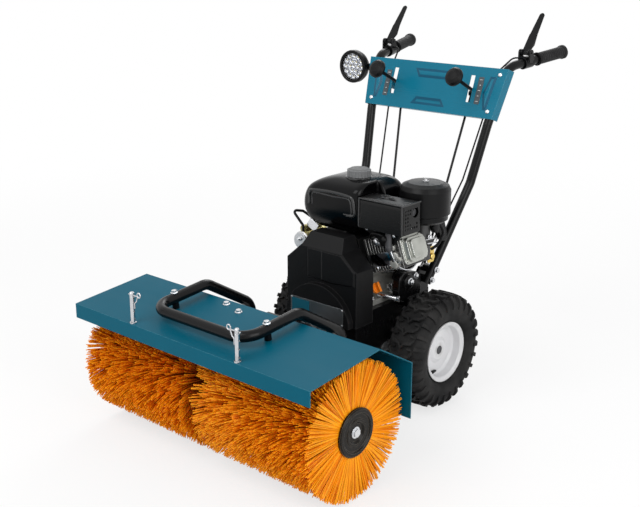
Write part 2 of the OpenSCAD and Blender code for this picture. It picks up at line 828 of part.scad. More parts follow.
// Frame
module frame_housing() {
  foot = [
    [foot_y - 44, deck_z - 60], [foot_y - 44, deck_z + 4], [foot_y - 20, foot_z + 16],
    [foot_y + 2, foot_z + 44], [foot_y + 42, foot_z + 44], [foot_y + 42, deck_z - 60]
  ];
  color("#1c1c1c") difference() {
    union() {
      both() yz(frame_x - wall, frame_x) polygon([
        [frame_y, floor_z + 30], [frame_y, deck_z], [frame_end_y, deck_z],
        [frame_end_y, floor_z], [frame_y + 30, floor_z]
      ]);
      block([-frame_x, frame_y, floor_z + 30], [frame_x, frame_y + bulkhead, deck_z]);
      block([-frame_x, mid_y, floor_z], [frame_x, mid_y + bulkhead, deck_z]);
      block([-frame_x, frame_end_y - wall, floor_z], [frame_x, frame_end_y, deck_z]);
      block([-frame_x, mid_y, deck_z - wall], [frame_x, frame_end_y, deck_z]);
      both() yz(frame_x - wall, frame_x + 6) polygon(foot);
      xy(swivel_low_z, swivel_low_z + swivel_plate) {
        translate([-swivel_r, swivel_y]) square([2 * swivel_r, frame_y - swivel_y + 1]);
        translate([0, swivel_y]) circle(swivel_r);
      }
      both() yz(swivel_r - 8, swivel_r) polygon([
        [frame_y + 1, swivel_low_z - 50], [frame_y + 1, swivel_low_z + 1], [swivel_y + 10, swivel_low_z + 1]
      ]);
    }
    translate([0, swivel_y, 0]) cylinder(h = worm_z, r = kingpin_r + run_c);
    xcyl(-200, 200, axle_y, axle_z, axle_r + 9.5);
    xcyl(-200, 200, hex_y, axle_z, 16);
    ycyl(frame_y - 1, mid_y + bulkhead + 1, 0, worm_z, pulley_shaft_r + 8);
    ycyl(mid_y - 1, mid_y + bulkhead + 1, 0, axle_z, disc_shaft_r + 7);
    for (x = [-1, 1]) engine_bolts(x) translate([0, 0, -10]) cylinder(h = 20, r = bolt_r + 0.2);
    both() for (k = [0, 1]) handle_bolt(k) translate([0, 0, -20]) cylinder(h = 60, r = bolt_r + 0.2);
  }
}

// Places of the engine's hold-down bolts, on top of its feet
module engine_bolts(s) {
  for (y = [engine_y + 22, engine_y + 122]) translate([s * (case_foot_x - 11), y, deck_z]) children();
}

// Places of the handle's bolts on the outside of the right tube, axis along X
module handle_bolt(k) {
  p = handle_path[0] + (handle_path[1] - handle_path[0]) * (k == 0 ? 0.04 : 0.14);
  translate([frame_x + 6, p[1], p[2]]) rotate([0, 90, 0]) children();
}

module bottom_cover() {
  color("#262626") difference() {
    union() {
      block([-frame_x, frame_y + 30, floor_z - wall], [frame_x, frame_end_y, floor_z]);
      both() yz(frame_x, frame_x + wall) polygon([
        [mid_y, floor_z - wall], [mid_y + 14, floor_z + 16], [hex_y - 40, floor_z + 16],
        [hex_y - 30, floor_z - wall]
      ]);
    }
    for (y = [mid_y + 40:45:frame_end_y - 40]) xy(floor_z - wall - 1, floor_z + 1)
      translate([-50, y]) round_rect(100, 12, 5);
  }
}

module bearings() {
  axle_case = axle_r + 9.5 - run_c;
  hex_case = 16 - run_c;
  pulley_case = pulley_shaft_r + 8 - run_c;
  disc_case = disc_shaft_r + 7 - run_c;
  color("silver") {
    both() difference() {
      union() {
        xcyl(frame_x - wall - 3, frame_x + 18, axle_y, axle_z, axle_case);
        xcyl(frame_x, frame_x + 5, axle_y, axle_z, axle_case + 12);
      }
      xcyl(0, 200, axle_y, axle_z, axle_r + run_c);
    }
    both() difference() {
      union() {
        xcyl(frame_x - wall - 2, frame_x + 4, hex_y, axle_z, hex_case);
        xcyl(frame_x, frame_x + 4, hex_y, axle_z, hex_case + 8);
      }
      xcyl(0, frame_x + 2, hex_y, axle_z, hex_r - 2 + run_c);
    }
    for (k = [[frame_y, bulkhead], [mid_y, bulkhead]]) difference() {
      union() {
        ycyl(k[0] - 4, k[0] + k[1], 0, worm_z, pulley_case);
        ycyl(k[0] - 4, k[0], 0, worm_z, pulley_case + 9);
      }
      ycyl(k[0] - 20, k[0] + 20, 0, worm_z, pulley_shaft_r + run_c);
    }
    difference() {
      union() {
        ycyl(mid_y - 3, mid_y + bulkhead + 4, 0, axle_z, disc_case);
        ycyl(mid_y - 3, mid_y, 0, axle_z, disc_case + 8);
      }
      ycyl(mid_y - 20, mid_y + 20, 0, axle_z, disc_shaft_r + run_c);
    }
  }
}

module belt_cover() {
  inner = inset(cover_path, cover_wall);
  inner_side = [
    [cover_y + cover_wall, cover_z - 1], [cover_y + cover_wall, deck_z + 161],
    [cover_y + 27, deck_z + 200 - cover_wall], [cover_end_y + 1, deck_z + 200 - cover_wall],
    [cover_end_y + 1, cover_z - 1]
  ];
  arch_half = arch_r - 4;
  color("#161616") difference() {
    union() {
      intersection() {
        xz(cover_y, cover_end_y) polygon(cover_path);
        yz(-cover_x, cover_x) polygon(concat(cover_side, [[cover_end_y, cover_z]]));
      }
      intersection() {
        xz(arch_y, cover_y + 1) translate([0, worm_z]) circle(arch_r);
        block([-arch_half, arch_y - 1, cover_z], [arch_half, cover_y + 2, worm_z + arch_r + 1]);
      }
      for (z = [0, 1]) xz(cover_y - 3, cover_y + 1)
        translate([-34, deck_z + 118 + 18 * z]) round_rect(68, 7, 3);
    }
    intersection() {
      xz(cover_y + cover_wall, cover_end_y + 2)
        polygon(concat(inner, [inner[7] - [0, 2], inner[0] - [0, 2]]));
      yz(-cover_x, cover_x) polygon(inner_side);
    }
    intersection() {
      xz(arch_y + cover_wall, cover_y + cover_wall + 1) translate([0, worm_z]) circle(arch_r - cover_wall);
      block([cover_wall - arch_half, arch_y, cover_z - 2],
        [arch_half - cover_wall, cover_y + 9, worm_z + arch_r]);
    }
  }
}

// Engine, with the cylinder's slanted axis in local Z of at_cylinder
module at_cylinder() {
  aim([0, cyl_y, crank_z], [cos(cylinder_a), 0, sin(cylinder_a)], [0, 1, 0]) children();
}

module engine_block() {
  color("#8a8d90") difference() {
    union() {
      xz(engine_y + 6, engine_y + case_len) {
        translate([0, crank_z]) circle(case_x);
        translate([-case_x, deck_z + 10]) square([2 * case_x - 10, case_top_z - deck_z - 10]);
      }
      xz(engine_y, engine_y + 7) translate([0, crank_z]) circle(62);
      block([-case_foot_x, engine_y + 8, deck_z], [case_foot_x, engine_y + 144, deck_z + case_foot_h]);
      for (a = [0:60:359]) ycyl(engine_y + 1, engine_y + 8, 68 * cos(a), crank_z + 68 * sin(a), 7);
      aim(filler_at(0), filler_dir, [0, 1, 0]) cylinder(h = 34, r = 14);
    }
    at_cylinder() translate([-100, -100, deck_r]) cube([200, 200, 200]);
    ycyl(engine_y - 1, engine_y + 22, 0, crank_z, 9.5 + run_c);
    for (x = [-1, 1]) engine_bolts(x) translate([0, 0, -10]) cylinder(h = 40, r = bolt_r + 0.2);
    aim(filler_at(10), filler_dir, [0, 1, 0]) cylinder(h = 34, r = 8);
  }
}

// Oil filler on the right of the crankcase
filler_dir = unit([1, 0, 0.55]);
function filler_at(t) = [62, engine_y + 46, deck_z + 26] + filler_dir * t;

module oil_dipstick() {
  color("darkorange") aim(filler_at(34 + seat_c), filler_dir, [0, 1, 0]) {
    cylinder(h = 7, r = 15);
    translate([-4, -14, 6]) cube([8, 28, 12]);
    translate([0, 0, -18]) cylinder(h = 19, r = 7.6);
  }
}

module cylinder_fins() {
  color("#3a3c3e") at_cylinder() {
    cylinder(h = cover_r - deck_r, r = 38, $fn = 40);
    translate([-cyl_half, -cyl_half, 0]) {
      translate([0, 0, deck_r]) cube([2 * cyl_half, 2 * cyl_half, 6]);
      for (h = [deck_r + 13:9:head_r - 4]) translate([0, 0, h]) linear_extrude(height = 3.4)
        round_rect(2 * cyl_half, 2 * cyl_half, 10);
      translate([0, 0, head_r]) cube([2 * cyl_half, 2 * cyl_half, 8]);
      for (h = [head_r + 14:8:cover_r - 6]) translate([6, 4, h]) linear_extrude(height = 3.4)
        round_rect(2 * cyl_half - 12, 2 * cyl_half - 8, 12);
      translate([0, 0, cover_r - 6]) cube([2 * cyl_half, 2 * cyl_half - 10, 6]);
    }
  }
}

// The core of the cylinder starts on the crankcase's deck
module cylinder_body() {
  intersection() {
    cylinder_fins();
    at_cylinder() translate([-100, -100, deck_r]) cube([200, 200, cover_r - deck_r]);
  }
  color("#3a3c3e") at_cylinder() translate([0, 0, deck_r]) cylinder(h = cover_r - deck_r - 1, r = 36);
}

module valve_cover() {
  w = 2 * cyl_half - 8;
  h = 2 * cyl_half - 20;
  color("#c8ccc8") at_cylinder() {
    translate([-w / 2, -h / 2 - 4, cover_r]) {
      linear_extrude(height = 5) round_rect(w, h, 12);
      translate([6, 6, 4]) linear_extrude(height = 17) round_rect(w - 12, h - 12, 11);
      translate([14, 14, 20]) linear_extrude(height = 10) round_rect(w - 28, h - 26, 9);
      for (x = [8, w - 8], y = [8, h - 8]) translate([x, y, 4]) cylinder(h = 7, r = 5, $fn = 6);
    }
  }
}

module exhaust_muffler() {
  low = guard_z + 6;
  pipe_x = guard_x + 92;
  pipe_y = cyl_y - cyl_half - 14;
  color("#5a5a58") {
    translate([guard_x + 14, engine_y + 8, low]) intersection() {
      rotate([90, 0, 90]) linear_extrude(height = guard_w - 28)
        round_rect(guard_depth - 18, guard_h - 16, 22);
      linear_extrude(height = guard_h) round_rect(guard_w - 28, guard_depth - 18, 16);
    }
    xcyl(guard_x + guard_w - 20, guard_x + guard_w - 6, engine_y + 56, low + 48, 10);
    for (x = [36, guard_w - 36]) translate([guard_x + x, engine_y + 40, low + guard_h - 20])
      cylinder(h = 12, r = 6);
    bent_rod([
      [pipe_x, cyl_y - cyl_half, crank_z + 66], [pipe_x, pipe_y, crank_z + 66], [pipe_x, pipe_y, low + 12]
    ], 9, 12);
  }
}

module muffler_guard() {
  t = 2;
  top = guard_z + guard_h;
  hole = 6;
  pitch = 10;
  color("#1a1a1a") translate([guard_x, engine_y - 2, 0]) difference() {
    intersection() {
      xy(guard_z, top) round_rect(guard_w, guard_depth, 9);
      yz(-1, guard_w + 1) translate([0, guard_z - 20]) round_rect(guard_depth, guard_h + 20, 14);
    }
    intersection() {
      xy(guard_z - 1, top - t) translate([t, t]) round_rect(guard_w - 2 * t, guard_depth - 2 * t, 7);
      yz(0, guard_w) translate([t, guard_z - 20]) round_rect(guard_depth - 2 * t, guard_h + 20 - t, 12);
    }
    for (i = [0:5], j = [0:5])
      if (norm([i - 3.7, j - 2.6]) > 1.9)
        block([guard_w - 5, 12 + i * pitch, guard_z + 12 + j * pitch],
          [guard_w + 5, 12 + i * pitch + hole, guard_z + 12 + j * pitch + hole]);
    xcyl(guard_w - 5, guard_w + 5, 58, guard_z + 54, 13);
    for (x = [44, 74]) xy(top - 6, top + 1) translate([x, 30]) round_rect(26, 9, 4);
    block([-1, guard_depth - 9, guard_z - 1], [guard_w - 30, guard_depth + 1, guard_z + guard_h - 30]);
  }
}

module fuel_tank() {
  top = tank_z + tank_h;
  right = tank_left + tank_w;
  notch_x = guard_x - 4;
  notch_y = engine_y + guard_depth + 4;
  // The underside steps up over the recoil housing
  step_y = engine_y + case_len - 3 - tank_front;
  step_z = crank_z + fan_r + 6 - tank_z;
  color("#121212") {
    difference() {
      intersection() {
        xy(tank_z, top) translate([tank_left, tank_front]) round_rect(tank_w, tank_depth, 34);
        xz(tank_front - 1, tank_front + tank_depth + 1) translate([tank_left, tank_z])
          polygon([
            [52, 0], [tank_w - 64, 0], [tank_w - 10, 36], [tank_w, 60], [tank_w, tank_h - 34],
            [tank_w - 26, tank_h - 8], [tank_w - 60, tank_h], [110, tank_h], [40, tank_h - 16],
            [8, tank_h - 40],
            [0, tank_h - 66], [0, 58], [14, 22]
          ]);
        yz(tank_left, right) translate([tank_front, tank_z]) polygon([
          [34, 0], [step_y - 6, 0], [step_y, step_z], [tank_depth - 6, step_z + 8], [tank_depth, step_z + 24],
          [tank_depth, tank_h - 36], [tank_depth - 34, tank_h], [50, tank_h], [14, tank_h - 22],
          [0, tank_h - 44], [0, 56], [8, 24]
        ]);
      }
      block([notch_x, tank_front - 2, tank_z - 1], [right + 1, notch_y, top + 1]);
      xz(tank_front - 1, tank_front + 4) translate([tank_left + 40, tank_z + tank_h - 89])
        round_rect(134, 44, 14);
    }
    translate([tank_cap[0], tank_cap[1], top - 4]) cylinder(h = 12, r = cap_neck_r);
    for (x = [-64, 20]) block([x, engine_y + 40, case_top_z], [x + 24, engine_y + 140, tank_z + 1]);
  }
}

tank_cap = [6, tank_front + 74];

module fuel_cap() {
  z = tank_z + tank_h + seat_c;
  r = 33;
  color("#6d6f70") translate([tank_cap[0], tank_cap[1], z]) difference() {
    union() {
      cylinder(h = 19, r = r);
      translate([0, 0, 18]) cylinder(h = 5, r1 = r - 2, r2 = r - 9);
    }
    translate([0, 0, -1]) cylinder(h = 10, r = cap_neck_r + seat_c);
    for (a = [0:18:359]) rotate(a) translate([r + 1.5, 0, -1]) cylinder(h = 30, r = 3);
  }
}

module air_cleaner() {
  top = cleaner_h;
  color("#151515") translate([cleaner_x, cleaner_y, cleaner_z]) rotate_extrude() polygon([
    [0, 0], [cleaner_r - 16, 0], [cleaner_r - 6, 8], [cleaner_r - 6, 20], [cleaner_r, 24],
    [cleaner_r, top - 22], [cleaner_r - 6, top - 10], [cleaner_r - 22, top - 3], [0, top]
  ]);
}

module carburettor() {
  head_back = cyl_y + cyl_half;
  carb_x = cleaner_x - 6;
  carb_z = crank_z + 60;
  color("#b0aca0") {
    ycyl(head_back, cleaner_y + 26, carb_x, carb_z, 19);
    translate([carb_x, cleaner_y, carb_z - 48]) cylinder(h = 40, r = 24);
    translate([carb_x, cleaner_y, carb_z]) cylinder(h = cleaner_z - carb_z, r = 22);
    ycyl(head_back, head_back + 7, carb_x, carb_z, 28);
  }
}

module recoil_housing() {
  y0 = engine_y + case_len;
  recoil_r = fan_r - 14;
  color("#202020") {
    difference() {
      union() {
        ycyl(y0, y0 + 44, 0, crank_z, fan_r);
        ycyl(y0 + 43, y0 + 64, 0, crank_z, recoil_r);
        ycyl(y0 + 63, y0 + 72, 0, crank_z, 38);
      }
      for (a = [0:20:359]) translate([0, 0, crank_z]) rotate([0, a, 0])
        block([50, y0 + 54, -4], [74, y0 + 66, 4]);
    }
    block([-70, y0 + 44, crank_z + recoil_r - 26], [-42, y0 + 72, crank_z + recoil_r - 16]);
  }
}

module starter_motor() {
  side = -case_x;
  color("#a5a28e") {
    ycyl(starter_y + 8, starter_y + starter_len, starter_x, starter_z, starter_r);
    ycyl(starter_y, starter_y + 9, starter_x, starter_z, starter_r - 3);
    ycyl(starter_y + 20, starter_y + starter_len - 10, starter_x - 6, starter_z + starter_r + 4, 11);
    block([starter_x + 6, starter_y + starter_len - 26, starter_z - 24],
      [side, starter_y + starter_len, starter_z + 6]);
  }
}

// Pulleys and belts
module crank_pulley() {
  color("silver") {
    ycyl(frame_y + 4, engine_y + 20, 0, crank_z, 9.5);
    translate([0, brush_plane, crank_z]) rotate([-90, 0, 0]) pulley(crank_pulley_r, 9);
    translate([0, drive_plane, crank_z]) rotate([-90, 0, 0]) pulley(crank_pulley_r, 9);
  }
}

module belt(y, low_z, low_r) {
  d = crank_z - low_z;
  r1 = low_r + seat_c;
  r2 = crank_pulley_r + seat_c;
  color("#101010") translate([0, 0, low_z]) xz(y - 3, y + 3) difference() {
    belt_outline(r1 + belt_t, r2 + belt_t, d);
    belt_outline(r1, r2, d);
  }
}

module brush_belt() {
  belt(brush_plane, worm_z, brush_pulley_r);
}

module drive_belt() {
  belt(drive_plane, axle_z, traction_r);
}

// Half width of a belt's outside at height z
function belt_x(z, low_z, low_r) = let (
  d = crank_z - low_z,
  a = acos((low_r - crank_pulley_r) / d)
) (low_r + seat_c + belt_t - (z - low_z) * cos(a)) / sin(a);

// Idler on an arm that turns about a pin in the middle bulkhead
module idler(y, pin, wheel) {
  color("silver") {
    difference() {
      union() {
        xz(y + 9.5, y + 13.5) {
          translate(pin) circle(11);
          translate(wheel) circle(9);
          along = unit(wheel - pin);
          across = [along[1], -along[0]] * 8;
          polygon([pin - across, wheel - across, wheel + across, pin + across]);
        }
        ycyl(y - 4, y + 4, wheel[0], wheel[1], idler_r);
        ycyl(y + 3, y + 10, wheel[0], wheel[1], 7);
      }
      ycyl(y, y + 20, pin[0], pin[1], idler_pin_r + run_c);
    }
  }
}

idler_z = deck_z + 42;
brush_idler_x = -(belt_x(idler_z, worm_z, brush_pulley_r) + idler_r + idler_swing);
drive_idler_x = belt_x(idler_z, axle_z, traction_r) + idler_r + idler_swing;
brush_idler_pin = [brush_idler_x, deck_z - 14];
drive_idler_pin = [drive_idler_x, deck_z - 14];

module brush_idler() {
  idler(brush_plane, brush_idler_pin, [brush_idler_x, idler_z]);
}

module drive_idler() {
  idler(drive_plane, drive_idler_pin, [drive_idler_x, idler_z]);
}

// Wheel drive
module friction_disc() {
  color("gray") {
    ycyl(disc_y, disc_y + disc_t, 0, axle_z, disc_r);
    ycyl(drive_plane - 10, disc_y + 1, 0, axle_z, disc_shaft_r);
    translate([0, drive_plane, axle_z]) rotate([-90, 0, 0]) pulley(traction_r, 8);
  }
}

module hex_shaft() {
  color("silver") {
    translate([0, hex_y, axle_z]) rotate([0, 90, 0])
      cylinder(h = 2 * (frame_x - wall - 4), r = hex_r, $fn = 6, center = true);
    xcyl(1 - frame_x, frame_x - 1, hex_y, axle_z, hex_r - 2);
    translate([0, hex_y, axle_z]) yz(gear_x, gear_x + gear_w) rotate(180 / pinion_teeth)
      gear_outline(pinion_teeth, gear_m, 0.1, 0.26);
  }
}

module friction_wheel() {
  color("#303030") translate([0, hex_y, axle_z]) rotate([0, 90, 0]) difference() {
    union() {
      cylinder(h = 12, r = friction_r, center = true);
      cylinder(h = 30, r = 20, center = true);
    }
    cylinder(h = 40, r = hex_r + 0.1, $fn = 6, center = true);
  }
}

module drive_axle() {
  color("silver") {
    xcyl(-wheel_x - 22, wheel_x + 22, axle_y, axle_z, axle_r);
    translate([0, axle_y, axle_z]) yz(gear_x, gear_x + gear_w) difference() {
      gear_outline(axle_teeth, gear_m, 0.1, 0.26);
      circle(axle_r - 1);
      for (a = [36:72:359]) rotate(a) translate([44, 0]) circle(15);
    }
  }
}

rim_w = 46;

module rim() {
  color("gainsboro") translate([wheel_x, axle_y, axle_z]) rotate([90, 0, 90]) rotate_extrude() polygon([
    [axle_r + run_c, -24], [26, -24], [26, 4], [40, 10], [rim_r - 26, 8], [rim_r - 18, -12],
    [rim_r - 12, -rim_w + 4],
    [rim_r - 12, -rim_w], [rim_r, -rim_w], [rim_r, -rim_w + 3.5], [rim_r - 8.5, -rim_w + 6],
    [rim_r - 8.5, rim_w - 6],
    [rim_r, rim_w - 3.5], [rim_r, rim_w], [rim_r - 4, rim_w], [rim_r - 12, rim_w - 6], [rim_r - 14, 20],
    [rim_r - 22, 14],
    [38, 16], [28, 22], [axle_r + run_c, 22]
  ]);
}

module right_rim() {
  rim();
}

module left_rim() {
  mirror([1, 0, 0]) rim();
}

// Carcass and two rows of slanted lugs
module tyre() {
  half = tyre_w / 2;
  tread_r = tyre_d / 2 - 12;
  bead_r = rim_r - 8.5 + seat_c;
  neck = rim_w - 6.4;
  color("#1b1b1b") translate([wheel_x, axle_y, axle_z]) {
    rotate([90, 0, 90]) rotate_extrude($fn = 40) polygon([
      [bead_r / cos(4.5), -neck], [rim_r + 4, -neck - 2], [rim_r + 16, -half + 2], [rim_r + 34, -half],
      [tread_r - 12, -half + 5], [tread_r, -half + 22], [tread_r, half - 22], [tread_r - 12, half - 5],
      [rim_r + 34, half], [rim_r + 16, half - 2], [rim_r + 4, neck + 2], [bead_r / cos(4.5), neck],
      [tread_r - 14, half - 22], [tread_r - 14, 22 - half]
    ]);
    for (s = [0, 1], i = [0:lugs - 1]) rotate([(i + s / 2) * 360 / lugs, 0, 0]) mirror([s, 0, 0])
      lug(half);
  }
}

// One slanted lug of the right row, pointing down
module lug(half) {
  top = tyre_d / 2;
  hull() {
    translate([8, 0, 7 - top]) cube([16, 10, 14], center = true);
    rotate([6, 0, 0]) translate([half - 22, 0, 7.4 - top]) cube([8, 12, 14], center = true);
    rotate([10, 0, 0]) translate([half - 5, 0, 24 - top]) cube([8, 16, 18], center = true);
  }
}

module right_tyre() {
  tyre();
}

module left_tyre() {
  mirror([1, 0, 0]) tyre();
}

// Handle
module handle() {
  d = unit(handle_path[1] - handle_path[0]);
  color("#151515") difference() {
    union() {
      bent_rod(handle_path, handle_r, 60);
      for (k = [0, 1]) handle_bolt(k) cylinder(h = handle_path[0][0] - frame_x - 6, r = 11);
    }
    rod(handle_path[0] - d, handle_path[0] + d * 8, handle_r - 2.2);
    for (k = [0, 1]) handle_bolt(k) translate([0, 0, -20]) cylinder(h = 90, r = bolt_r + 0.2);
  }
}

module right_handle() {
  handle();
}

module left_handle() {
  mirror([1, 0, 0]) handle();
}

// Panel coordinates: X across, Y up the panel's face and Z out of it
module at_panel() {
  multmatrix([
    [1, 0, 0, 0],
    [0, panel_rise[0], panel_out[0], panel_y],
    [0, panel_rise[1], panel_out[1], panel_z],
    [0, 0, 0, 1]
  ]) children();
}

module trapezoid(low, high, h) {
  polygon([[-low, 0], [low, 0], [high, h], [-high, h]]);
}

// A pressing h high over a convex outline, each of its walls sloped inwards from its side
module pressing(outline, h) {
  slope = 20;
  reach = 40;
  n = len(outline);
  mirror([0, 0, h > 0 ? 0 : 1]) difference() {
    translate([0, 0, -1]) linear_extrude(height = abs(h) + 1) polygon(outline);
    for (i = [0:n - 1]) {
      run = outline[(i + 1) % n] - outline[i];
      translate([outline[i][0], outline[i][1], -1]) rotate(atan2(run[1], run[0])) rotate([slope, 0, 0])
        translate([-reach, -reach, 0]) cube([norm(run) + 2 * reach, 2 * reach, reach]);
    }
  }
}

// Pressings of the panel that stand out of its face
module raised_pressings() {
  top = panel_h - 18;
  x = knob_lever_x + 40;
  pressing([[-52, top - 32], [52, top - 32], [72, top], [-72, top]], press_h);
  both() pressing([[x + 12, 20], [x + 28, 20], [x + 42, top - 4], [x + 16, top - 4], [x, slot_mid - 9]],
    press_h);
}

// Pressing under the middle of the panel that goes into its face
module sunk_pressing() {
  pressing([[-66, 14], [66, 14], [46, 42], [-46, 42]], -press_h);
}

module control_panel() {
  t = panel_t;
  fold = 16;
  low_fold_x = tube_low_x - handle_r - 5;
  top_fold_x = tube_top_x - handle_r - 5;
  side_fold = 2 * handle_r + 6;
  lean = atan2(panel_top_x - panel_low_x, panel_h);
  color("#1f7f9a") difference() {
    union() {
      at_panel() {
        translate([0, 0, -t]) linear_extrude(height = t) trapezoid(panel_low_x, panel_top_x, panel_h);
        translate([-low_fold_x, 0, -fold]) cube([2 * low_fold_x, t, fold]);
        translate([-top_fold_x, panel_h - t, -fold]) cube([2 * top_fold_x, t, fold]);
        both() translate([panel_low_x, 0, -side_fold]) rotate(-lean) translate([-t, 0, 0])
          cube([t, panel_h / cos(lean), side_fold - t / 2]);
        raised_pressings();
        translate([0, 0, -t]) sunk_pressing();
      }
      both() at_panel() stick_bracket();
    }
    at_panel() {
      translate([0, 0, -t]) raised_pressings();
      sunk_pressing();
      both() translate([knob_lever_x - slot_w / 2, slot_low, -8]) cube([slot_w, slot_high - slot_low, 12]);
    }
  }
}

// Bracket behind a slot, with the pin that a knob lever turns on
module stick_bracket() {
  p = slot_mid - lever_back * sin(lever_tilt);
  n = -lever_back * cos(lever_tilt);
  translate([knob_lever_x + 14, p - 14, n - 12]) cube([4, 28, -n + 11]);
  translate([knob_lever_x - 10, p, n]) rotate([0, 90, 0]) cylinder(h = 26, r = stick_pin_r);
}

module hand_grips() {
  color("#0e0e0e") both() aim(grip_end, grip_dir) rotate_extrude() polygon([
    [0, 0], [grip_end_r, 0], [grip_end_r, -7], [grip_r + 0.6, -13], [grip_r, -26], [grip_r, 6 - grip_len],
    [grip_r + 2, 4 - grip_len], [grip_r + 2, -grip_len], [handle_r + run_c, -grip_len],
    [handle_r + run_c, -4], [0, -4]
  ]);
}

module handle_brackets() {
  color("#1a1a1a") {
    both() difference() {
      union() {
        aim(clamp_at - grip_dir * 17, grip_dir) cylinder(h = 34, r = handle_r + 5);
        for (s = [-1, 1]) yz(clamp_at[0] + s * 17 - 2.5, clamp_at[0] + s * 17 + 2.5) {
          translate([pivot_at[1], pivot_at[2]]) circle(9);
          polygon([
            [pivot_at[1] - 9, pivot_at[2]], [pivot_at[1] + 9, pivot_at[2]],
            [clamp_at[1] + 13, clamp_at[2]], [clamp_at[1] - 13, clamp_at[2]]
          ]);
        }
      }
      aim(clamp_at - grip_dir * 40, grip_dir) cylinder(h = 80, r = handle_r + run_c);
      xcyl(0, 500, pivot_at[1], pivot_at[2], lever_pin_r + run_c);
      block([clamp_at[0] - 14.5, pivot_at[1] - 30, pivot_at[2] - 10],
        [clamp_at[0] + 14.5, pivot_at[1] + 30, pivot_at[2] + 12]);
    }
    lamp_bracket();
  }
}

// Angle between the panel's left flange and the lamp's ear, with the lamp's pin
module lamp_bracket() {
  x = lamp_pivot[0];
  edge = -(panel_low_x + (panel_top_x - panel_low_x) * (lamp_v + 16) / panel_h);
  block([x + 4.3, lamp_pivot[1] - 11, lamp_pivot[2] - 11], [x + 7.3, lamp_pivot[1] + 11, lamp_pivot[2] + 11]);
  xcyl(x - 5, x + 5, lamp_pivot[1], lamp_pivot[2], 4);
  block([x + 4.3, lamp_pivot[1] - 4, lamp_pivot[2] - 8], [edge - 0.4, lamp_pivot[1], lamp_pivot[2] + 8]);
}

module headlight() {
  color("#1c1c1c") {
    translate(lamp_at) rotate([-90, 0, 0]) rotate_extrude() polygon([
      [0, -4], [lamp_r - 5, -4], [lamp_r - 5, -18], [lamp_r - 2, -20], [lamp_r, -17], [lamp_r, -2],
      [lamp_r - 5, 10],
      [lamp_r - 20, 30], [16, 36], [0, 36]
    ]);
    difference() {
      union() {
        xcyl(lamp_pivot[0] - 8, lamp_pivot[0] + 4, lamp_pivot[1], lamp_pivot[2], 11);
        block([lamp_pivot[0] - 28, lamp_at[1] + 8, lamp_pivot[2] - 9],
          [lamp_pivot[0] - 7, lamp_pivot[1] + 9, lamp_pivot[2] + 9]);
      }
      xcyl(lamp_pivot[0] - 9, lamp_pivot[0] + 9, lamp_pivot[1], lamp_pivot[2], 4 + run_c);
    }
  }
}

module headlight_lens() {
  color("#dfe8ee") translate(lamp_at) rotate([-90, 0, 0]) rotate_extrude() polygon([
    [0, -4.3], [lamp_r - 5.3, -4.3], [lamp_r - 5.3, -15], [lamp_r - 12, -17.5], [0, -18.5]
  ]);
}

// Squeeze lever of the right handle, standing up from its grip
module squeeze_lever() {
  t = 3;
  tip_w = 15;
  color("#141414") {
    translate(pivot_at) rotate([lever_a - 90, 0, 0]) {
      rotate([90, 0, 0]) linear_extrude(height = t, center = true) {
        polygon([[-lever_w / 2, -8], [lever_w / 2, -8], [lever_w / 2, 40], [tip_w / 2, lever_len - tip_w / 2],
          [-tip_w / 2, lever_len - tip_w / 2], [-lever_w / 2, 40]]);
        translate([0, lever_len - tip_w / 2]) circle(tip_w / 2);
      }
      for (s = [0, 1]) mirror([s, 0, 0]) yz(lever_w / 2 - t, lever_w / 2) {
        circle(9);
        polygon([[-8, 0], [0, 9], [7, 30], [0, 60], [-1.5, 60], [-1.5, 8], [0, -9]]);
      }
    }
    xcyl(pivot_at[0] - 21, pivot_at[0] + 21, pivot_at[1], pivot_at[2], lever_pin_r);
  }
}

module traction_lever() {
  squeeze_lever();
}

module brush_lever() {
  mirror([1, 0, 0]) squeeze_lever();
}

// Knob lever behind a slot at +X, with a pin for its rod
module knob_lever(arm, pin_x) {
  p = stick_pivot + [knob_lever_x, 0, 0];
  color("#151515") {
    difference() {
      union() {
        xcyl(knob_lever_x - 9, knob_lever_x + 9, p[1], p[2], stick_pin_r + 5);
        rod(p, p + stick_dir * (lever_back + lever_fore), lever_r);
      }
      xcyl(knob_lever_x - 30, knob_lever_x + 30, p[1], p[2], stick_pin_r + run_c);
    }
    aim(p + stick_dir * (lever_back + lever_fore - 4), stick_dir, [1, 0, 0]) rotate_extrude() polygon([
      [0, 0], [lever_r + 3, 0], [knob_r - 6, 5], [knob_r, 11], [knob_r, 17], [knob_r - 5, 24],
      [knob_r - 14, 28], [0, 29]
    ]);
    q = p + stick_dir * arm;
    xcyl(pin_x - 5, knob_lever_x, q[1], q[2], rod_pin_r);
  }
}

module gear_lever() {
  knob_lever(gear_arm, gear_rod_x);
}

module lock_lever() {
  mirror([1, 0, 0]) knob_lever(lock_arm, -lock_rod_x);
}

// Rod from a lever's pin, with a slotted eye so that the pin can swing
module control_rod(arm, x, end, play) {
  top = stick_pivot + stick_dir * arm + [x, 0, 0];
  d = unit(top - end);
  color("#2a2a2a") {
    rod(end, top - d * (rod_pin_r + 3), rod_r);
    aim(top, [1, 0, 0], [0, stick_dir[1], stick_dir[2]]) difference() {
      translate([-play, 0, 0]) linear_extrude(height = 6, center = true)
        slot_outline(play + 4, rod_pin_r + 5);
      translate([-play, 0, 0]) linear_extrude(height = 8, center = true) slot_outline(play, rod_pin_r + 0.7);
    }
    rod(end, end + d * 24, rod_r + 3);
  }
}

// Slot of a width of two radii that reaches from the origin to +X
module slot_outline(reach, r) {
  circle(r);
  translate([reach, 0]) circle(r);
  translate([0, -r]) square([reach, 2 * r]);
}

module gear_rod() {
  control_rod(gear_arm, gear_rod_x, gear_rod_end, 1.6);
}

module lock_rod() {
  control_rod(lock_arm, lock_rod_x, lock_rod_end, 6);
}

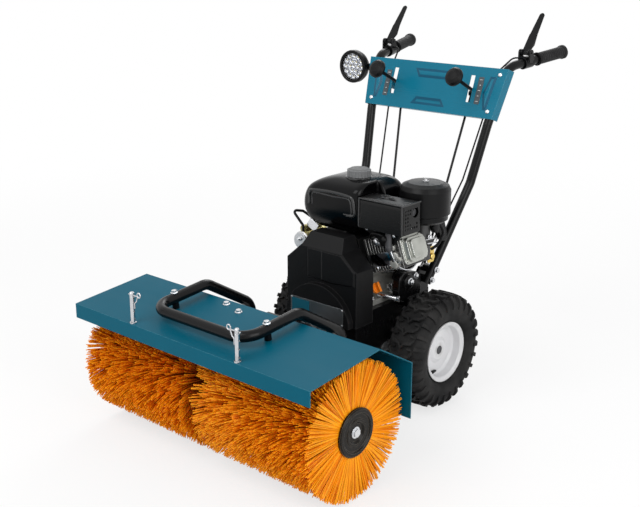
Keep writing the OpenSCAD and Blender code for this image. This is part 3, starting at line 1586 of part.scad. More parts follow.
// Pad that grips the round edge of the head's plate
module swivel_lock() {
  z = swivel_low_z + swivel_plate + seat_c;
  y = swivel_y + swivel_r + seat_c;
  color("#777777") difference() {
    block([-18, y - 6, z], [18, frame_y - 6, z + swivel_plate]);
    translate([0, swivel_y, z - 1]) cylinder(h = swivel_plate + 2, r = swivel_r + seat_c);
  }
}

module chassis_bolts() {
  color("silver") {
    for (x = [-1, 1]) engine_bolts(x) translate([0, 0, case_foot_h]) hex_bolt(bolt_r, case_foot_h + 4);
    both() for (k = [0, 1]) {
      p = handle_path[0] + (handle_path[1] - handle_path[0]) * (k == 0 ? 0.04 : 0.14);
      translate([p[0] + handle_r + 1, p[1], p[2]]) rotate([0, 90, 0])
        hex_bolt(bolt_r, p[0] + handle_r - frame_x + 4);
    }
    translate([0, swivel_y, 0]) {
      translate([0, 0, swivel_low_z - 14]) cylinder(h = 14, r = 17, $fn = 6);
      translate([0, 0, swivel_low_z - 10]) cylinder(h = swivel_top_z + swivel_plate - swivel_low_z + 11,
        r = kingpin_r);
      translate([0, 0, swivel_top_z + swivel_plate + seat_c]) cylinder(h = 9, r = 17, $fn = 6);
    }
    ycyl(brush_plane + 9, mid_y, brush_idler_pin[0], brush_idler_pin[1], idler_pin_r);
    ycyl(drive_plane + 9, mid_y, drive_idler_pin[0], drive_idler_pin[1], idler_pin_r);
  }
}

// Control cables beside the handle tubes, and the starter's lead
module cables() {
  inside = 40;
  behind = -tube_set - 30;
  start = clamp_at + [-20, -4, 10];
  low = [98, foot_y + 45, deck_z + 60];
  lead_y = starter_y + 14;
  lead_z = starter_z + starter_r + seat_c;
  lead_rise = 16;
  lead_top = lead_z + 56;
  lead_end = [starter_x - 6, starter_y + 58, lead_z + 15];
  color("#0c0c0c") {
    both() cord(round_path([
      start, start - [20, 0, 0], panel_at(tube_top_x - inside, panel_h + 4, behind),
      panel_at(tube_low_x - inside, 10, behind), handle_path[1] + [-inside, 22, 0], low,
      [low[0], low[1] - 6, deck_z + seat_c]
    ], 16), 2.5, [0.6, 0.75, -0.3]);
    cord(round_path([
      [starter_x, lead_y, lead_z], [starter_x, lead_y, lead_z + lead_rise],
      [starter_x - 38, lead_y - 4, lead_top],
      lead_end + [-20, -16, 34], lead_end + [0, 0, lead_rise], lead_end
    ], 9), 4, [0.9, -0.3, 0.2]);
  }
}

// Everything stands on the origin by the middle of its length
module place() {
  translate([0, -centre_y, 0]) children();
}

place() frame_housing();
place() bottom_cover();
place() bearings();
place() belt_cover();
place() engine_block();
place() cylinder_body();  // cylinder
place() valve_cover();
place() exhaust_muffler();
place() muffler_guard();
place() fuel_tank();
place() air_cleaner();
place() carburettor();
place() recoil_housing();
place() starter_motor();
place() left_handle();
place() right_handle();
place() control_panel();
place() hand_grips();
place() handle_brackets();
place() chassis_bolts();
place() brush_belt();
place() drive_belt();
place() cables();
place() brush_hood();
place() bumper_tube();
place() gearbox();
place() head_bracket();
place() accessory_posts();
place() head_bolts();
place() left_clip();
place() right_clip();
place() worm_shaft();
place() brush_shaft();
place() left_brush();
place() right_brush();
place() brush_caps();
place() cap_bolts();
place() brush_pulley();
place() crank_pulley();
place() friction_disc();
place() hex_shaft();
place() friction_wheel();
place() drive_axle();
place() left_rim();
place() right_rim();
place() left_tyre();
place() right_tyre();
place() traction_lever();
place() brush_lever();
place() gear_lever();
place() lock_lever();
place() gear_rod();
place() lock_rod();
place() swivel_lock();
place() brush_idler();
place() drive_idler();
place() headlight();
place() headlight_lens();
place() fuel_cap();
place() oil_dipstick();
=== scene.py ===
"""Dress the power brush sweeper: finishes on its solids, strand bristles, tyres, lamp and fine pieces.

Sizes in the classes are millimetres in the machine's own frame, where Y is measured from the brush
axle. machine() turns them into the model's metres.
"""

from __future__ import annotations

import logging
import math
from collections.abc import Callable, Sequence
from dataclasses import dataclass
from enum import Enum
from typing import ClassVar

import bpy
import numpy as np
from mathutils import Matrix, Vector


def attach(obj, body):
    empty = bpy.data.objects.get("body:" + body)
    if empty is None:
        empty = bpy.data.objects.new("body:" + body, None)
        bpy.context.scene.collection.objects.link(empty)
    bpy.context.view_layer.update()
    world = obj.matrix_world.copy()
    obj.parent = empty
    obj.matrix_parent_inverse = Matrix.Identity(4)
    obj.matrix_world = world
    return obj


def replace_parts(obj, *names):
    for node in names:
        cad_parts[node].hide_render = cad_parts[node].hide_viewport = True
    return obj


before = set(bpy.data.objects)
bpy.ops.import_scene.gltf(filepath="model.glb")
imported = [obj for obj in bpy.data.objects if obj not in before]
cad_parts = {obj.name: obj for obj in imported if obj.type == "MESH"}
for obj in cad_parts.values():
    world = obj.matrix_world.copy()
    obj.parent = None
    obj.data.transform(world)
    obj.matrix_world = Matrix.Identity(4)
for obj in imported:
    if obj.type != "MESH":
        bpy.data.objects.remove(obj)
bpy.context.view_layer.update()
LOG = logging.getLogger("sweeper")

AXLE_TO_ORIGIN = 452.0229
WHEEL_X = 215.0
AXLE = (561.3, 165.0)
AXLE_AT = (0.1093, 0.165)  # the same axle in the model's metres
ACROSS, BACK, FRONT, UP = (1, 0, 0), (0, 1, 0), (0, -1, 0), (0, 0, 1)
Colour = tuple[float, float, float, float]
Place = tuple[float, float, float]
Pair = tuple[float, float]
Outline = tuple[Pair, ...]
Points = np.ndarray
Vec = Sequence[float] | Points
Path = Sequence[Sequence[float]] | Points
WHITE: Colour = (1.0, 1.0, 1.0, 1.0)
HEXAGON = 1.732  # a hexagon's width across its flats over the radius to its corners


class Side(Enum):
    """The two sides of the machine, as signs along X."""

    LEFT = -1
    RIGHT = 1


class Grain(Enum):
    """Directions that a drawn or ground metal shows its streaks in, as texture stretch."""

    NONE = (1.0, 1.0, 1.0)
    ALONG_X = (0.05, 1.0, 1.0)
    ALONG_Y = (1.0, 0.05, 1.0)


def machine(points: Vec) -> Points:
    """Turn machine-frame millimetres into the model's metres."""
    return (np.asarray(points, float) - (0.0, AXLE_TO_ORIGIN, 0.0)) / 1000.0


def paint(red: int, green: int, blue: int) -> Colour:
    """Turn a screen colour of 0 to 255 into the linear colour that shaders take."""
    part = np.array((red, green, blue)) / 255.0
    linear = np.where(part <= 0.04045, part / 12.92, ((part + 0.055) / 1.055) ** 2.4)
    return (float(linear[0]), float(linear[1]), float(linear[2]), 1.0)


def dim(colour: Colour, share: float) -> Colour:
    """Darken a colour to a share of its light."""
    return (*(share * part for part in colour[:3]), 1.0)


def unit(vector: Vec) -> Points:
    """Scale vectors to length one."""
    vector = np.asarray(vector, float)
    return vector / np.linalg.norm(vector, axis=-1, keepdims=True)


def smooth_path(points: Path, per: int) -> Points:
    """Carry a Catmull-Rom curve through points: each span is a cubic with its neighbours' slopes.

    Args:
        points: the points that the curve passes.
        per: samples in each span.

    Returns:
        The sampled curve, both ends included.
    """
    p = np.asarray(points, float)
    p = np.concatenate([2 * p[:1] - p[1:2], p, 2 * p[-1:] - p[-2:-1]])
    t = (np.arange(per) / per)[None, :, None]
    a, b, c, d = p[:-3, None], p[1:-2, None], p[2:-1, None], p[3:, None]
    curve = b + 0.5 * t * (c - a + t * (2 * a - 5 * b + 4 * c - d + t * (3 * (b - c) + d - a)))
    return np.concatenate([curve.reshape(-1, p.shape[1]), p[-2:-1]])


def rounded(width: float, height: float, radius: float, per: int = 5) -> Points:
    """Give a rounded rectangle's outline, counter-clockwise: quarter circles about inset corners."""
    turn = np.linspace(0, math.pi / 2, per)
    start = np.arange(4)[:, None] * math.pi / 2
    corner = np.array([(1, 1), (-1, 1), (-1, -1), (1, -1)]) * (width / 2 - radius, height / 2 - radius)
    arc = np.stack([np.cos(start + turn), np.sin(start + turn)], -1) * radius
    return (corner[:, None] + arc).reshape(-1, 2)


def filleted(corners: Outline | Points, radius: float | Points, per: int = 7) -> Points:
    """Round the corners of closed outlines, each by a parabola that starts and ends on its two sides.

    Args:
        corners: outlines by corners by 2, counter-clockwise, or one outline.
        radius: how far from each corner the curve starts, cut to 0.48 of the shorter side.
        per: samples on each corner.

    Returns:
        Outlines by points by 2.
    """
    corners = np.asarray(corners, float)
    back, ahead = np.roll(corners, 1, -2) - corners, np.roll(corners, -1, -2) - corners
    room = 0.48 * np.minimum(np.linalg.norm(back, axis=-1), np.linalg.norm(ahead, axis=-1))
    reach = np.minimum(radius, room)[..., None]
    t = np.linspace(0, 1, per)[:, None]
    start, end = ((corners + unit(d) * reach)[..., None, :] for d in (back, ahead))
    curve = (1 - t) ** 2 * start + 2 * t * (1 - t) * corners[..., None, :] + t**2 * end
    return curve.reshape(*corners.shape[:-2], -1, 2)


def inset(outline: Points, by: float) -> Points:
    """Move the corners of a counter-clockwise outline so that all its sides move inwards alike.

    A corner moves along the sum of its sides' inward normals, over one plus their product.

    Args:
        outline: corners by 2.
        by: how far each side moves.

    Returns:
        The smaller outline.
    """
    run = unit(np.roll(outline, -1, 0) - outline)
    normal = np.stack([-run[:, 1], run[:, 0]], -1)
    before = np.roll(normal, 1, 0)
    return outline + by * (before + normal) / (1 + (before * normal).sum(-1, keepdims=True))


def circle(radius: float, sides: int) -> Points:
    """Give a circle's outline, counter-clockwise."""
    turn = np.arange(sides) * 2 * math.pi / sides
    return np.stack([np.cos(turn), np.sin(turn)], -1) * radius


def grid_faces(rows: int, cols: int, wrap_rows: bool = False) -> Points:
    """List the four-sided faces of a grid of points, turned so that round-the-path columns face out."""
    r = np.arange(rows if wrap_rows else rows - 1)[:, None]
    c = np.arange(cols)[None, :]
    r1, c1 = (r + 1) % rows, (c + 1) % cols
    corners = np.broadcast_arrays(r * cols + c, r * cols + c1, r1 * cols + c1, r1 * cols + c)
    return np.stack(corners, -1).reshape(-1, 4)


def arithmetic(operation: str, swapped: bool = False) -> Callable[[Value, Value | float], Value]:
    """Make an operator of Value that adds one Math node.

    Args:
        operation: the node's operation.
        swapped: whether the other value comes first.

    Returns:
        The operator.
    """

    def operate(self: Value, other: Value | float) -> Value:
        """Join this value and another."""
        return self.math(operation, *((other, self) if swapped else (self, other)))

    return operate


class Value:
    """A shader socket that takes part in Python arithmetic; each operation adds a Math node."""

    __add__, __radd__ = arithmetic("ADD"), arithmetic("ADD", True)
    __sub__, __rsub__ = arithmetic("SUBTRACT"), arithmetic("SUBTRACT", True)
    __mul__, __rmul__ = arithmetic("MULTIPLY"), arithmetic("MULTIPLY", True)
    __pow__ = arithmetic("POWER")

    def __init__(self, graph: Graph, socket: bpy.types.NodeSocket) -> None:
        """Keep the graph and the socket."""
        self.graph, self.socket = graph, socket

    def math(self, operation: str, left: Value | float, right: Value | float = 0.0) -> Value:
        """Add a Math node on two values."""
        return self.graph.node("ShaderNodeMath", {"operation": operation}, {0: left, 1: right})

    def sine(self) -> Value:
        """Give the sine."""
        return self.math("SINE", self)

    def above(self, edge: float, soft: float) -> Value:
        """Rise smoothly from 0 to 1 about an edge, over twice the soft width."""
        values = {"Value": self, "From Min": edge - soft, "From Max": edge + soft}
        return self.graph.node("ShaderNodeMapRange", {"interpolation_type": "SMOOTHSTEP"}, values)


class Graph:
    """A material's or the world's node tree, with the few patterns that the finishes share."""

    def __init__(self, name: str, world: bool = False) -> None:
        """Make a material, or a world, with an empty tree."""
        self.owner = (bpy.data.worlds if world else bpy.data.materials).new(name)
        self.owner.use_nodes = True
        self.tree = self.owner.node_tree
        self.tree.nodes.clear()
        self._place: Value | None = None

    def node(
        self,
        kind: str,
        settings: dict | None = None,
        values: dict | None = None,
        output: int | str | None = 0,
    ) -> Value | None:
        """Add one node.

        Args:
            kind: the node's type.
            settings: its properties, set first.
            values: numbers, or values to link, by socket name or index.
            output: the output to give back, or None for a node that ends the tree.

        Returns:
            The wrapped output.
        """
        made = self.tree.nodes.new(kind)
        for key, value in (settings or {}).items():
            setattr(made, key, value)
        for key, value in (values or {}).items():
            if isinstance(value, Value):
                self.tree.links.new(value.socket, made.inputs[key])
            else:
                made.inputs[key].default_value = value
        return None if output is None else Value(self, made.outputs[output])

    def place(self) -> Value:
        """Give the point on the object, in metres."""
        if self._place is None:
            self._place = self.node("ShaderNodeTexCoord", output="Object")
        return self._place

    def axis(self, index: int) -> Value:
        """Give one coordinate of the point."""
        return self.node("ShaderNodeSeparateXYZ", None, {0: self.place()}, index)

    def from_axle(self) -> Value:
        """Give the distance from the wheels' axle: the root of the sum of two squares."""
        across, up = self.axis(1) - AXLE_AT[0], self.axis(2) - AXLE_AT[1]
        return (across * across + up * up) ** 0.5

    def noise(self, scale: float, detail: float = 2.0, grain: Grain = Grain.NONE) -> Value:
        """Give a soft random field, stretched along a grain."""
        where = self.place()
        if grain is not Grain.NONE:
            where = self.node("ShaderNodeMapping", None, {"Vector": where, "Scale": grain.value})
        return self.node("ShaderNodeTexNoise", None, {"Vector": where, "Scale": scale, "Detail": detail})

    def cast_skin(self) -> Value:
        """Give the fine and the coarse grain of a casting, laid over each other."""
        return self.noise(520.0, 3.0) + 0.4 * self.noise(140.0, 3.0)

    def cells(self, scale: float) -> Value:
        """Give the distance field of scattered cells."""
        return self.node("ShaderNodeTexVoronoi", None, {"Vector": self.place(), "Scale": scale})

    def mix(self, share: Value | float, first: Value | Colour, second: Value | Colour) -> Value:
        """Blend two colours."""
        settings = {"data_type": "RGBA", "clamp_factor": True}
        return self.node("ShaderNodeMix", settings, {0: share, 6: first, 7: second}, 2)

    def soft_normal(self, radius: float) -> Value:
        """Give the normal of the surface with its edges rounded to a radius in metres."""
        return self.node("ShaderNodeBevel", {"samples": 4}, {"Radius": radius})

    def edges(self, normal: Value, gain: float = 4.0) -> Value:
        """Give a mask that is bright where the rounded normal leaves the flat one."""
        flat = self.node("ShaderNodeNewGeometry", output="Normal")
        along = self.node("ShaderNodeVectorMath", {"operation": "DOT_PRODUCT"}, {0: normal, 1: flat}, "Value")
        return self.node("ShaderNodeClamp", None, {"Value": (1.0 - along) * gain})

    def bump(self, height: Value, depth: float, normal: Value | None = None) -> Value:
        """Raise a surface by a height field of so many metres."""
        values: dict = {"Height": height, "Distance": depth, "Strength": 1.0}
        if normal is not None:
            values["Normal"] = normal
        return self.node("ShaderNodeBump", None, values)

    def shown(self) -> Value:
        """Give 1 on rays that the camera, gloss or glass sends out, and 0 on light that bounces."""
        rays = ("Is Camera Ray", "Is Glossy Ray", "Is Transmission Ray")
        camera, gloss, glass = (self.node("ShaderNodeLightPath", output=ray) for ray in rays)
        return camera.math("MAXIMUM", camera.math("MAXIMUM", camera, gloss), glass)

    def close(self, shader: Value, kind: str = "ShaderNodeOutputMaterial") -> None:
        """Send a shader to the tree's output."""
        self.node(kind, None, {"Surface": shader}, None)

    def finish(self, values: dict) -> bpy.types.Material:
        """Close the tree with a Principled shader and give the material."""
        self.close(self.node("ShaderNodeBsdfPrincipled", None, values))
        return self.owner


@dataclass(frozen=True)
class Finish:
    """A finish that makes its material once and hands it out again."""

    name: str
    _made: ClassVar[dict[str, bpy.types.Material]] = {}

    def material(self) -> bpy.types.Material:
        """Give this finish's material."""
        if self.name not in Finish._made:
            g = Graph(self.name)
            Finish._made[self.name] = g.finish(self.make(g))
        return Finish._made[self.name]

    def make(self, g: Graph) -> dict:
        """Give the shader's values; each finish has its own."""
        raise NotImplementedError


@dataclass(frozen=True)
class PowderCoat(Finish):
    """Baked powder paint on sheet and tube, with a faint orange-peel skin and folds paled by a painted
    highlight and rubbed wear.
    """

    colour: Colour
    # the colour of the painted highlight and rubbed wear on the folds
    fold_highlight_and_wear: Colour
    rough: float = 0.34
    peel: float = 0.00006
    round: float = 0.0018
    gloss: float = 0.12
    # rub: how strongly the folds take the painted highlight and wear
    rub: float = 0.8

    def make(self, g: Graph) -> dict:
        """Tint by a slow noise, pale the folds with a painted highlight and rubbed wear, and vary the gloss
        with fine smears.
        """
        normal = g.soft_normal(self.round)
        # edge: painted highlight with rubbed wear on the rounded folds, broken up by noise
        edge = g.edges(normal) * g.noise(60.0, 3.0).above(0.42, 0.25) * self.rub
        cloudy = g.mix(g.noise(5.0, 3.0), dim(self.colour, 0.86), self.colour)
        smear = g.noise(14.0, 4.0, Grain.ALONG_X)
        return {
            "Base Color": g.mix(edge, cloudy, self.fold_highlight_and_wear),
            "Roughness": self.rough - 0.07 + 0.14 * smear,
            "Specular IOR Level": self.gloss,
            "Normal": g.bump(g.noise(850.0), self.peel, normal),
        }


@dataclass(frozen=True)
class MouldedPlastic(Finish):
    """Moulded black or grey plastic with spark-eroded texture, and paler edges from a painted highlight with
    polished wear.
    """

    colour: Colour
    # edge: the colour of the painted highlight and wear on the edges
    edge: Colour
    rough: float = 0.46
    texture: float = 0.00010
    round: float = 0.0022
    speckle: float = 900.0
    gloss: float = 0.16

    def make(self, g: Graph) -> dict:
        """Roughen by fine cells, cloud the colour, and pale the edges with a painted highlight and wear."""
        normal = g.soft_normal(self.round)
        # worn: mask of the painted edge highlight, partly wear too
        worn = g.edges(normal, 3.0) * (0.45 + 0.55 * g.noise(35.0, 3.0))
        cloudy = g.mix(g.noise(9.0, 4.0), dim(self.colour, 0.8), self.colour)
        return {
            "Base Color": g.mix(worn, cloudy, self.edge),
            "Roughness": self.rough - 0.08 + 0.16 * g.noise(25.0, 3.0),
            "Specular IOR Level": self.gloss,
            "Normal": g.bump(g.cells(self.speckle), self.texture, normal),
        }


@dataclass(frozen=True)
class BareMetal(Finish):
    """Plated, drawn or polished metal, streaked along its grain and smudged."""

    colour: Colour
    rough: float = 0.28
    grain: Grain = Grain.NONE
    scratch: float = 0.00003
    round: float = 0.0012
    stain: Colour = (0.12, 0.11, 0.10, 1.0)
    stained: float = 0.25

    def make(self, g: Graph) -> dict:
        """Streak colour and gloss by stretched noise, and darken it in cloudy stains."""
        normal = g.soft_normal(self.round)
        streak = g.noise(420.0, 3.0, self.grain)
        stain = g.noise(28.0, 4.0).above(0.62, 0.14) * self.stained
        return {
            "Base Color": g.mix(stain, self.colour, self.stain),
            "Metallic": 1.0,
            "Roughness": self.rough - 0.06 + 0.12 * streak + 0.2 * stain,
            "Normal": g.bump(streak, self.scratch, normal),
        }


@dataclass(frozen=True)
class CastMetal(Finish):
    """Sand-cast or die-cast metal: grainy, dull in its hollows, and bright on its edges from a painted
    highlight with rubbed wear.
    """

    colour: Colour
    # edge: the colour of the painted highlight and wear on the edges
    edge: Colour
    rough: float = 0.5
    pit: float = 0.00018
    metal: float = 0.85

    def make(self, g: Graph) -> dict:
        """Pit the skin with two noises, and brighten the rounded edges with a painted highlight and wear."""
        normal = g.soft_normal(0.002)
        # worn: mask of the painted edge highlight, partly wear too
        worn = g.edges(normal, 3.5)
        cloud = g.noise(22.0, 5.0)
        cloudy = g.mix(cloud.above(0.42, 0.3), dim(self.colour, 0.62), self.colour)
        return {
            "Base Color": g.mix(worn, cloudy, self.edge),
            "Metallic": self.metal,
            "Roughness": self.rough + 0.12 * cloud - 0.18 * worn,
            "Normal": g.bump(g.cast_skin(), self.pit, normal),
        }


@dataclass(frozen=True)
class StarterPlating(Finish):
    """Olive-gold passivated starter body with a zinc end cap, divided along the machine's length."""

    body: Colour
    cap: Colour
    cap_edge: float

    def make(self, g: Graph) -> dict:
        """Change the plating at one Y, with rainbow-like clouding in the olive."""
        normal = g.soft_normal(0.0015)
        back = g.axis(1).above(self.cap_edge, 0.0006)
        cloud = g.noise(45.0, 4.0)
        bronze = (0.36, 0.27, 0.09, 1.0)
        return {
            "Base Color": g.mix(back, self.cap, g.mix(cloud.above(0.5, 0.2), self.body, bronze)),
            "Metallic": 0.9,
            "Roughness": 0.3 + 0.15 * cloud,
            "Normal": g.bump(g.noise(600.0), 0.00004, normal),
        }


@dataclass(frozen=True)
class CrankcasePaint(Finish):
    """Bare cast crankcase below, with the blower housing above it painted black."""

    alloy: Colour
    black: Colour
    line: float

    def make(self, g: Graph) -> dict:
        """Change from grainy alloy to paint at one height, and pit the alloy with noise."""
        normal = g.soft_normal(0.002)
        painted = g.axis(2).above(self.line, 0.0008)
        cloud = g.noise(22.0, 5.0)
        cast = g.mix(cloud.above(0.45, 0.3), dim(self.alloy, 0.6), self.alloy)
        return {
            "Base Color": g.mix(painted, cast, self.black),
            "Metallic": 0.85 * (1.0 - painted),
            "Roughness": 0.48 + 0.14 * cloud - 0.15 * painted,
            "Specular IOR Level": 0.25,
            "Normal": g.bump(g.cast_skin(), 0.00016, normal),
        }


@dataclass(frozen=True)
class TyreRubber(Finish):
    """Black tyre rubber: matt, dusted grey on the sides, with fine moulding rings."""

    colour: Colour
    dust: Colour

    def make(self, g: Graph) -> dict:
        """Ring the sidewalls by the distance from the axle, and dust them by noise."""
        reach = g.from_axle()
        rings = (reach * 2100.0).sine() * (1.0 - reach.above(0.140, 0.004))
        dusty = g.noise(16.0, 5.0).above(0.52, 0.22) * 0.5
        normal = g.soft_normal(0.0016)
        return {
            "Base Color": g.mix(dusty, self.colour, self.dust),
            "Roughness": 0.62 + 0.2 * g.noise(40.0, 3.0),
            "Specular IOR Level": 0.2,
            "Normal": g.bump(0.5 * rings + g.noise(700.0), 0.00012, normal),
        }


@dataclass(frozen=True)
class SoftRubber(Finish):
    """Grip and belt rubber: dull black with ribs along one axis and rubbed high spots."""

    colour: Colour
    worn: Colour
    pitch: float = 900.0
    depth: float = 0.0005

    def make(self, g: Graph) -> dict:
        """Rib the surface by a sine along Y, and pale the crests."""
        wave = 0.5 + 0.5 * (g.axis(1) * self.pitch).sine()
        rub = wave * g.noise(50.0, 3.0).above(0.5, 0.2) * 0.6
        return {
            "Base Color": g.mix(rub, self.colour, self.worn),
            "Roughness": 0.7 - 0.12 * wave,
            "Specular IOR Level": 0.2,
            "Normal": g.bump(wave + 0.2 * g.noise(600.0), self.depth, g.soft_normal(0.0015)),
        }


@dataclass(frozen=True)
class BristlePlastic(Finish):
    """Extruded orange bristles: darkened by painted shade towards the root, bright along the strand with a
    painted highlight at the tip, each of its own tint.
    """

    root_shade: Colour
    body: Colour
    bright: Colour

    def make(self, g: Graph) -> dict:
        """Read the strand's tint and the way along it, mottle the tint with noise, and paint shade towards
        the root and a highlight at the tips.
        """
        fields = ({"attribute_name": name} for name in ("tint", "along"))
        tint, along = (g.node("ShaderNodeAttribute", field, None, "Fac") for field in fields)
        shade = g.mix((0.75 * tint + 0.5 * g.noise(30.0, 3.0)).above(0.62, 0.4), self.body, self.bright)
        # root: painted shade towards the roots, deep in the roll
        root = (1.0 - along).above(0.62, 0.35) * 0.55
        tip_highlight = along.above(0.95, 0.03) * (1.0 - along.above(0.999, 0.0005)) * 0.5
        return {
            "Base Color": g.mix(tip_highlight, g.mix(root, shade, self.root_shade), self.bright),
            "Roughness": 0.4 + 0.2 * g.noise(90.0),
            "Specular IOR Level": 0.2,
            "Normal": g.bump(g.noise(500.0), 0.0001),
        }


@dataclass(frozen=True)
class RimEnamel(Finish):
    """Pale stove enamel on a pressed rim, darker near the bead and round the hub."""

    colour: Colour
    rim_grey: Colour

    def make(self, g: Graph) -> dict:
        """Darken by the distance from the axle, near the bead and round the hub, broken up with noise."""
        reach = g.from_axle()
        bead = reach.above(0.083, 0.006)
        hub = 1.0 - reach.above(0.020, 0.008)
        spread = g.noise(55.0, 4.0)
        rim_darkening = (0.35 * bead + 0.5 * hub) * spread.above(0.45, 0.25) + 0.10 * spread
        normal = g.soft_normal(0.003)
        return {
            "Base Color": g.mix(rim_darkening, self.colour, self.rim_grey),
            "Roughness": 0.3 + 0.25 * spread,
            "Coat Weight": 0.3,
            "Normal": g.bump(g.noise(400.0), 0.00004, normal),
        }


@dataclass(frozen=True)
class ClearGlass(Finish):
    """Clear moulded lamp lens with faint flutes."""

    def make(self, g: Graph) -> dict:
        """Let light through, and ripple the face by a fine sine."""
        flute = (g.axis(0) * 1400.0).sine() + g.noise(60.0)
        return {
            "Base Color": (0.97, 0.98, 1.0, 1.0),
            "Roughness": 0.03 + 0.04 * g.noise(40.0),
            "Transmission Weight": 1.0,
            "IOR": 1.45,
            "Normal": g.bump(flute, 0.00008),
        }


# In the PowderCoat, MouldedPlastic and CastMetal finishes, the second colour is a painted highlight, with
# some wear, on the rounded edges.
TEAL = PowderCoat("teal_powder_coat", paint(1, 90, 112), paint(104, 166, 180), rough=0.4, gloss=0.07)
PANEL_TEAL = PowderCoat("panel_powder_coat", paint(5, 112, 139), paint(120, 184, 200), rough=0.26, gloss=0.2)
# darker teal laid on the pressings' walls: painted shade
PANEL_WALL_SHADE = PowderCoat("panel_pressing_painted_shade", paint(1, 82, 110), paint(70, 150, 172), rough=0.22, gloss=0.2)
BLACK_COAT = PowderCoat(
    "black_powder_coat", paint(9, 9, 10), paint(74, 75, 77), rough=0.26, gloss=0.2, rub=0.35
)
# the cover's grey edge colour paints highlights on its creases
COVER = MouldedPlastic("belt_cover_plastic", paint(11, 11, 12), paint(58, 59, 60), rough=0.46)
# the tank's grey edge colour paints highlights on its edges
TANK = MouldedPlastic(
    "tank_plastic", paint(4, 4, 5), paint(40, 41, 43), rough=0.16, texture=0.00003, gloss=0.16
)
# lighter black than the tank: painted highlight on the tank's frame ridges, ear and neck, and on the muffler
# guard's rolled edges
RIDGE_HIGHLIGHT = MouldedPlastic(
    "tank_ridge_painted_highlight", paint(24, 24, 25), paint(90, 91, 93), rough=0.16, texture=0.00002, gloss=0.6
)
AIR_BOX = MouldedPlastic("air_cleaner_plastic", paint(14, 14, 15), paint(60, 61, 62), rough=0.34)
GUARD = PowderCoat("heat_black", paint(8, 8, 8), paint(84, 84, 85), rough=0.28, gloss=0.25, rub=0.6)
KNOB = MouldedPlastic("knob_plastic", paint(13, 13, 14), paint(60, 60, 62), rough=0.42)
# the end cap's pale edge colour paints highlights on its rings
CAP = MouldedPlastic("end_cap_plastic", paint(20, 16, 11), paint(150, 140, 122), rough=0.2, gloss=0.16)
GREY_CAP = MouldedPlastic(
    "fuel_cap_plastic", paint(112, 113, 114), paint(168, 169, 170), rough=0.5, gloss=0.3
)
ORANGE_CAP = MouldedPlastic(
    "filler_cap_plastic", paint(250, 134, 16), paint(255, 185, 100), rough=0.4, gloss=0.3
)
SCALE = MouldedPlastic("scale_strip", paint(84, 92, 97), paint(120, 126, 130), rough=0.5)
MARK = MouldedPlastic("scale_mark", paint(216, 219, 220), paint(235, 236, 236), rough=0.5)
PLATE_FIELD = PowderCoat("bare_plate_field", paint(22, 86, 104), paint(90, 140, 152), rough=0.4)
CHIP = MouldedPlastic("lamp_chip", paint(250, 232, 150), paint(255, 245, 200), rough=0.3)
ZINC = BareMetal("zinc_plate", (0.72, 0.73, 0.75, 1.0), rough=0.26)
CHROME = BareMetal("bright_plate", (0.60, 0.61, 0.63, 1.0), rough=0.2, stained=0.35)
MIRROR = BareMetal("lamp_reflector", (0.66, 0.67, 0.69, 1.0), rough=0.16, stained=0.05)
DARK_CHROME = BareMetal("heat_shield", (0.30, 0.31, 0.34, 1.0), rough=0.12, stained=0.4)
GOLD = BareMetal("yellow_passivate", (0.80, 0.58, 0.18, 1.0), rough=0.28, stain=(0.35, 0.22, 0.05, 1.0))
NAME_PLATE = BareMetal("brushed_plate", (0.30, 0.31, 0.32, 1.0), rough=0.36, grain=Grain.ALONG_X, stained=0.1)
STEEL_X = BareMetal("ground_steel_x", (0.52, 0.52, 0.53, 1.0), rough=0.32, grain=Grain.ALONG_X)
STEEL_Y = BareMetal("ground_steel_y", (0.50, 0.50, 0.51, 1.0), rough=0.34, grain=Grain.ALONG_Y)
CASTING = CastMetal("cast_aluminium", (0.46, 0.46, 0.43, 1.0), (0.74, 0.74, 0.71, 1.0))
BLOCK = CrankcasePaint("crankcase_paint", (0.46, 0.46, 0.43, 1.0), paint(9, 9, 9), 0.395)
VALVE = CastMetal(
    "valve_cover_alloy", (0.50, 0.51, 0.47, 1.0), (0.88, 0.88, 0.85, 1.0), rough=0.26, pit=0.00006
)
FINS = CastMetal("cylinder_fins", (0.05, 0.05, 0.05, 1.0), (0.60, 0.60, 0.58, 1.0), rough=0.45, metal=0.6)
CARB = CastMetal("carburettor_alloy", (0.09, 0.09, 0.09, 1.0), (0.40, 0.40, 0.38, 1.0), rough=0.45)
IRON = CastMetal("gear_iron", (0.10, 0.10, 0.105, 1.0), (0.36, 0.36, 0.37, 1.0), rough=0.55)
STARTER = StarterPlating("starter_plating", (0.42, 0.40, 0.18, 1.0), (0.70, 0.70, 0.71, 1.0), -0.0395)
TYRE = TyreRubber("tyre_rubber", paint(14, 14, 15), paint(56, 55, 54))
RIM = RimEnamel("rim_enamel", paint(216, 216, 218), paint(140, 138, 134))
GRIP = SoftRubber("grip_rubber", paint(20, 20, 21), paint(58, 58, 59))
BELT = SoftRubber("belt_rubber", paint(22, 22, 22), paint(56, 54, 52), 600.0, 0.0002)
# the first colour is the painted shade at the roots
BRISTLE = BristlePlastic("bristle_plastic", paint(140, 48, 1), paint(232, 122, 2), paint(252, 170, 20))
GLASS = ClearGlass("lamp_glass")

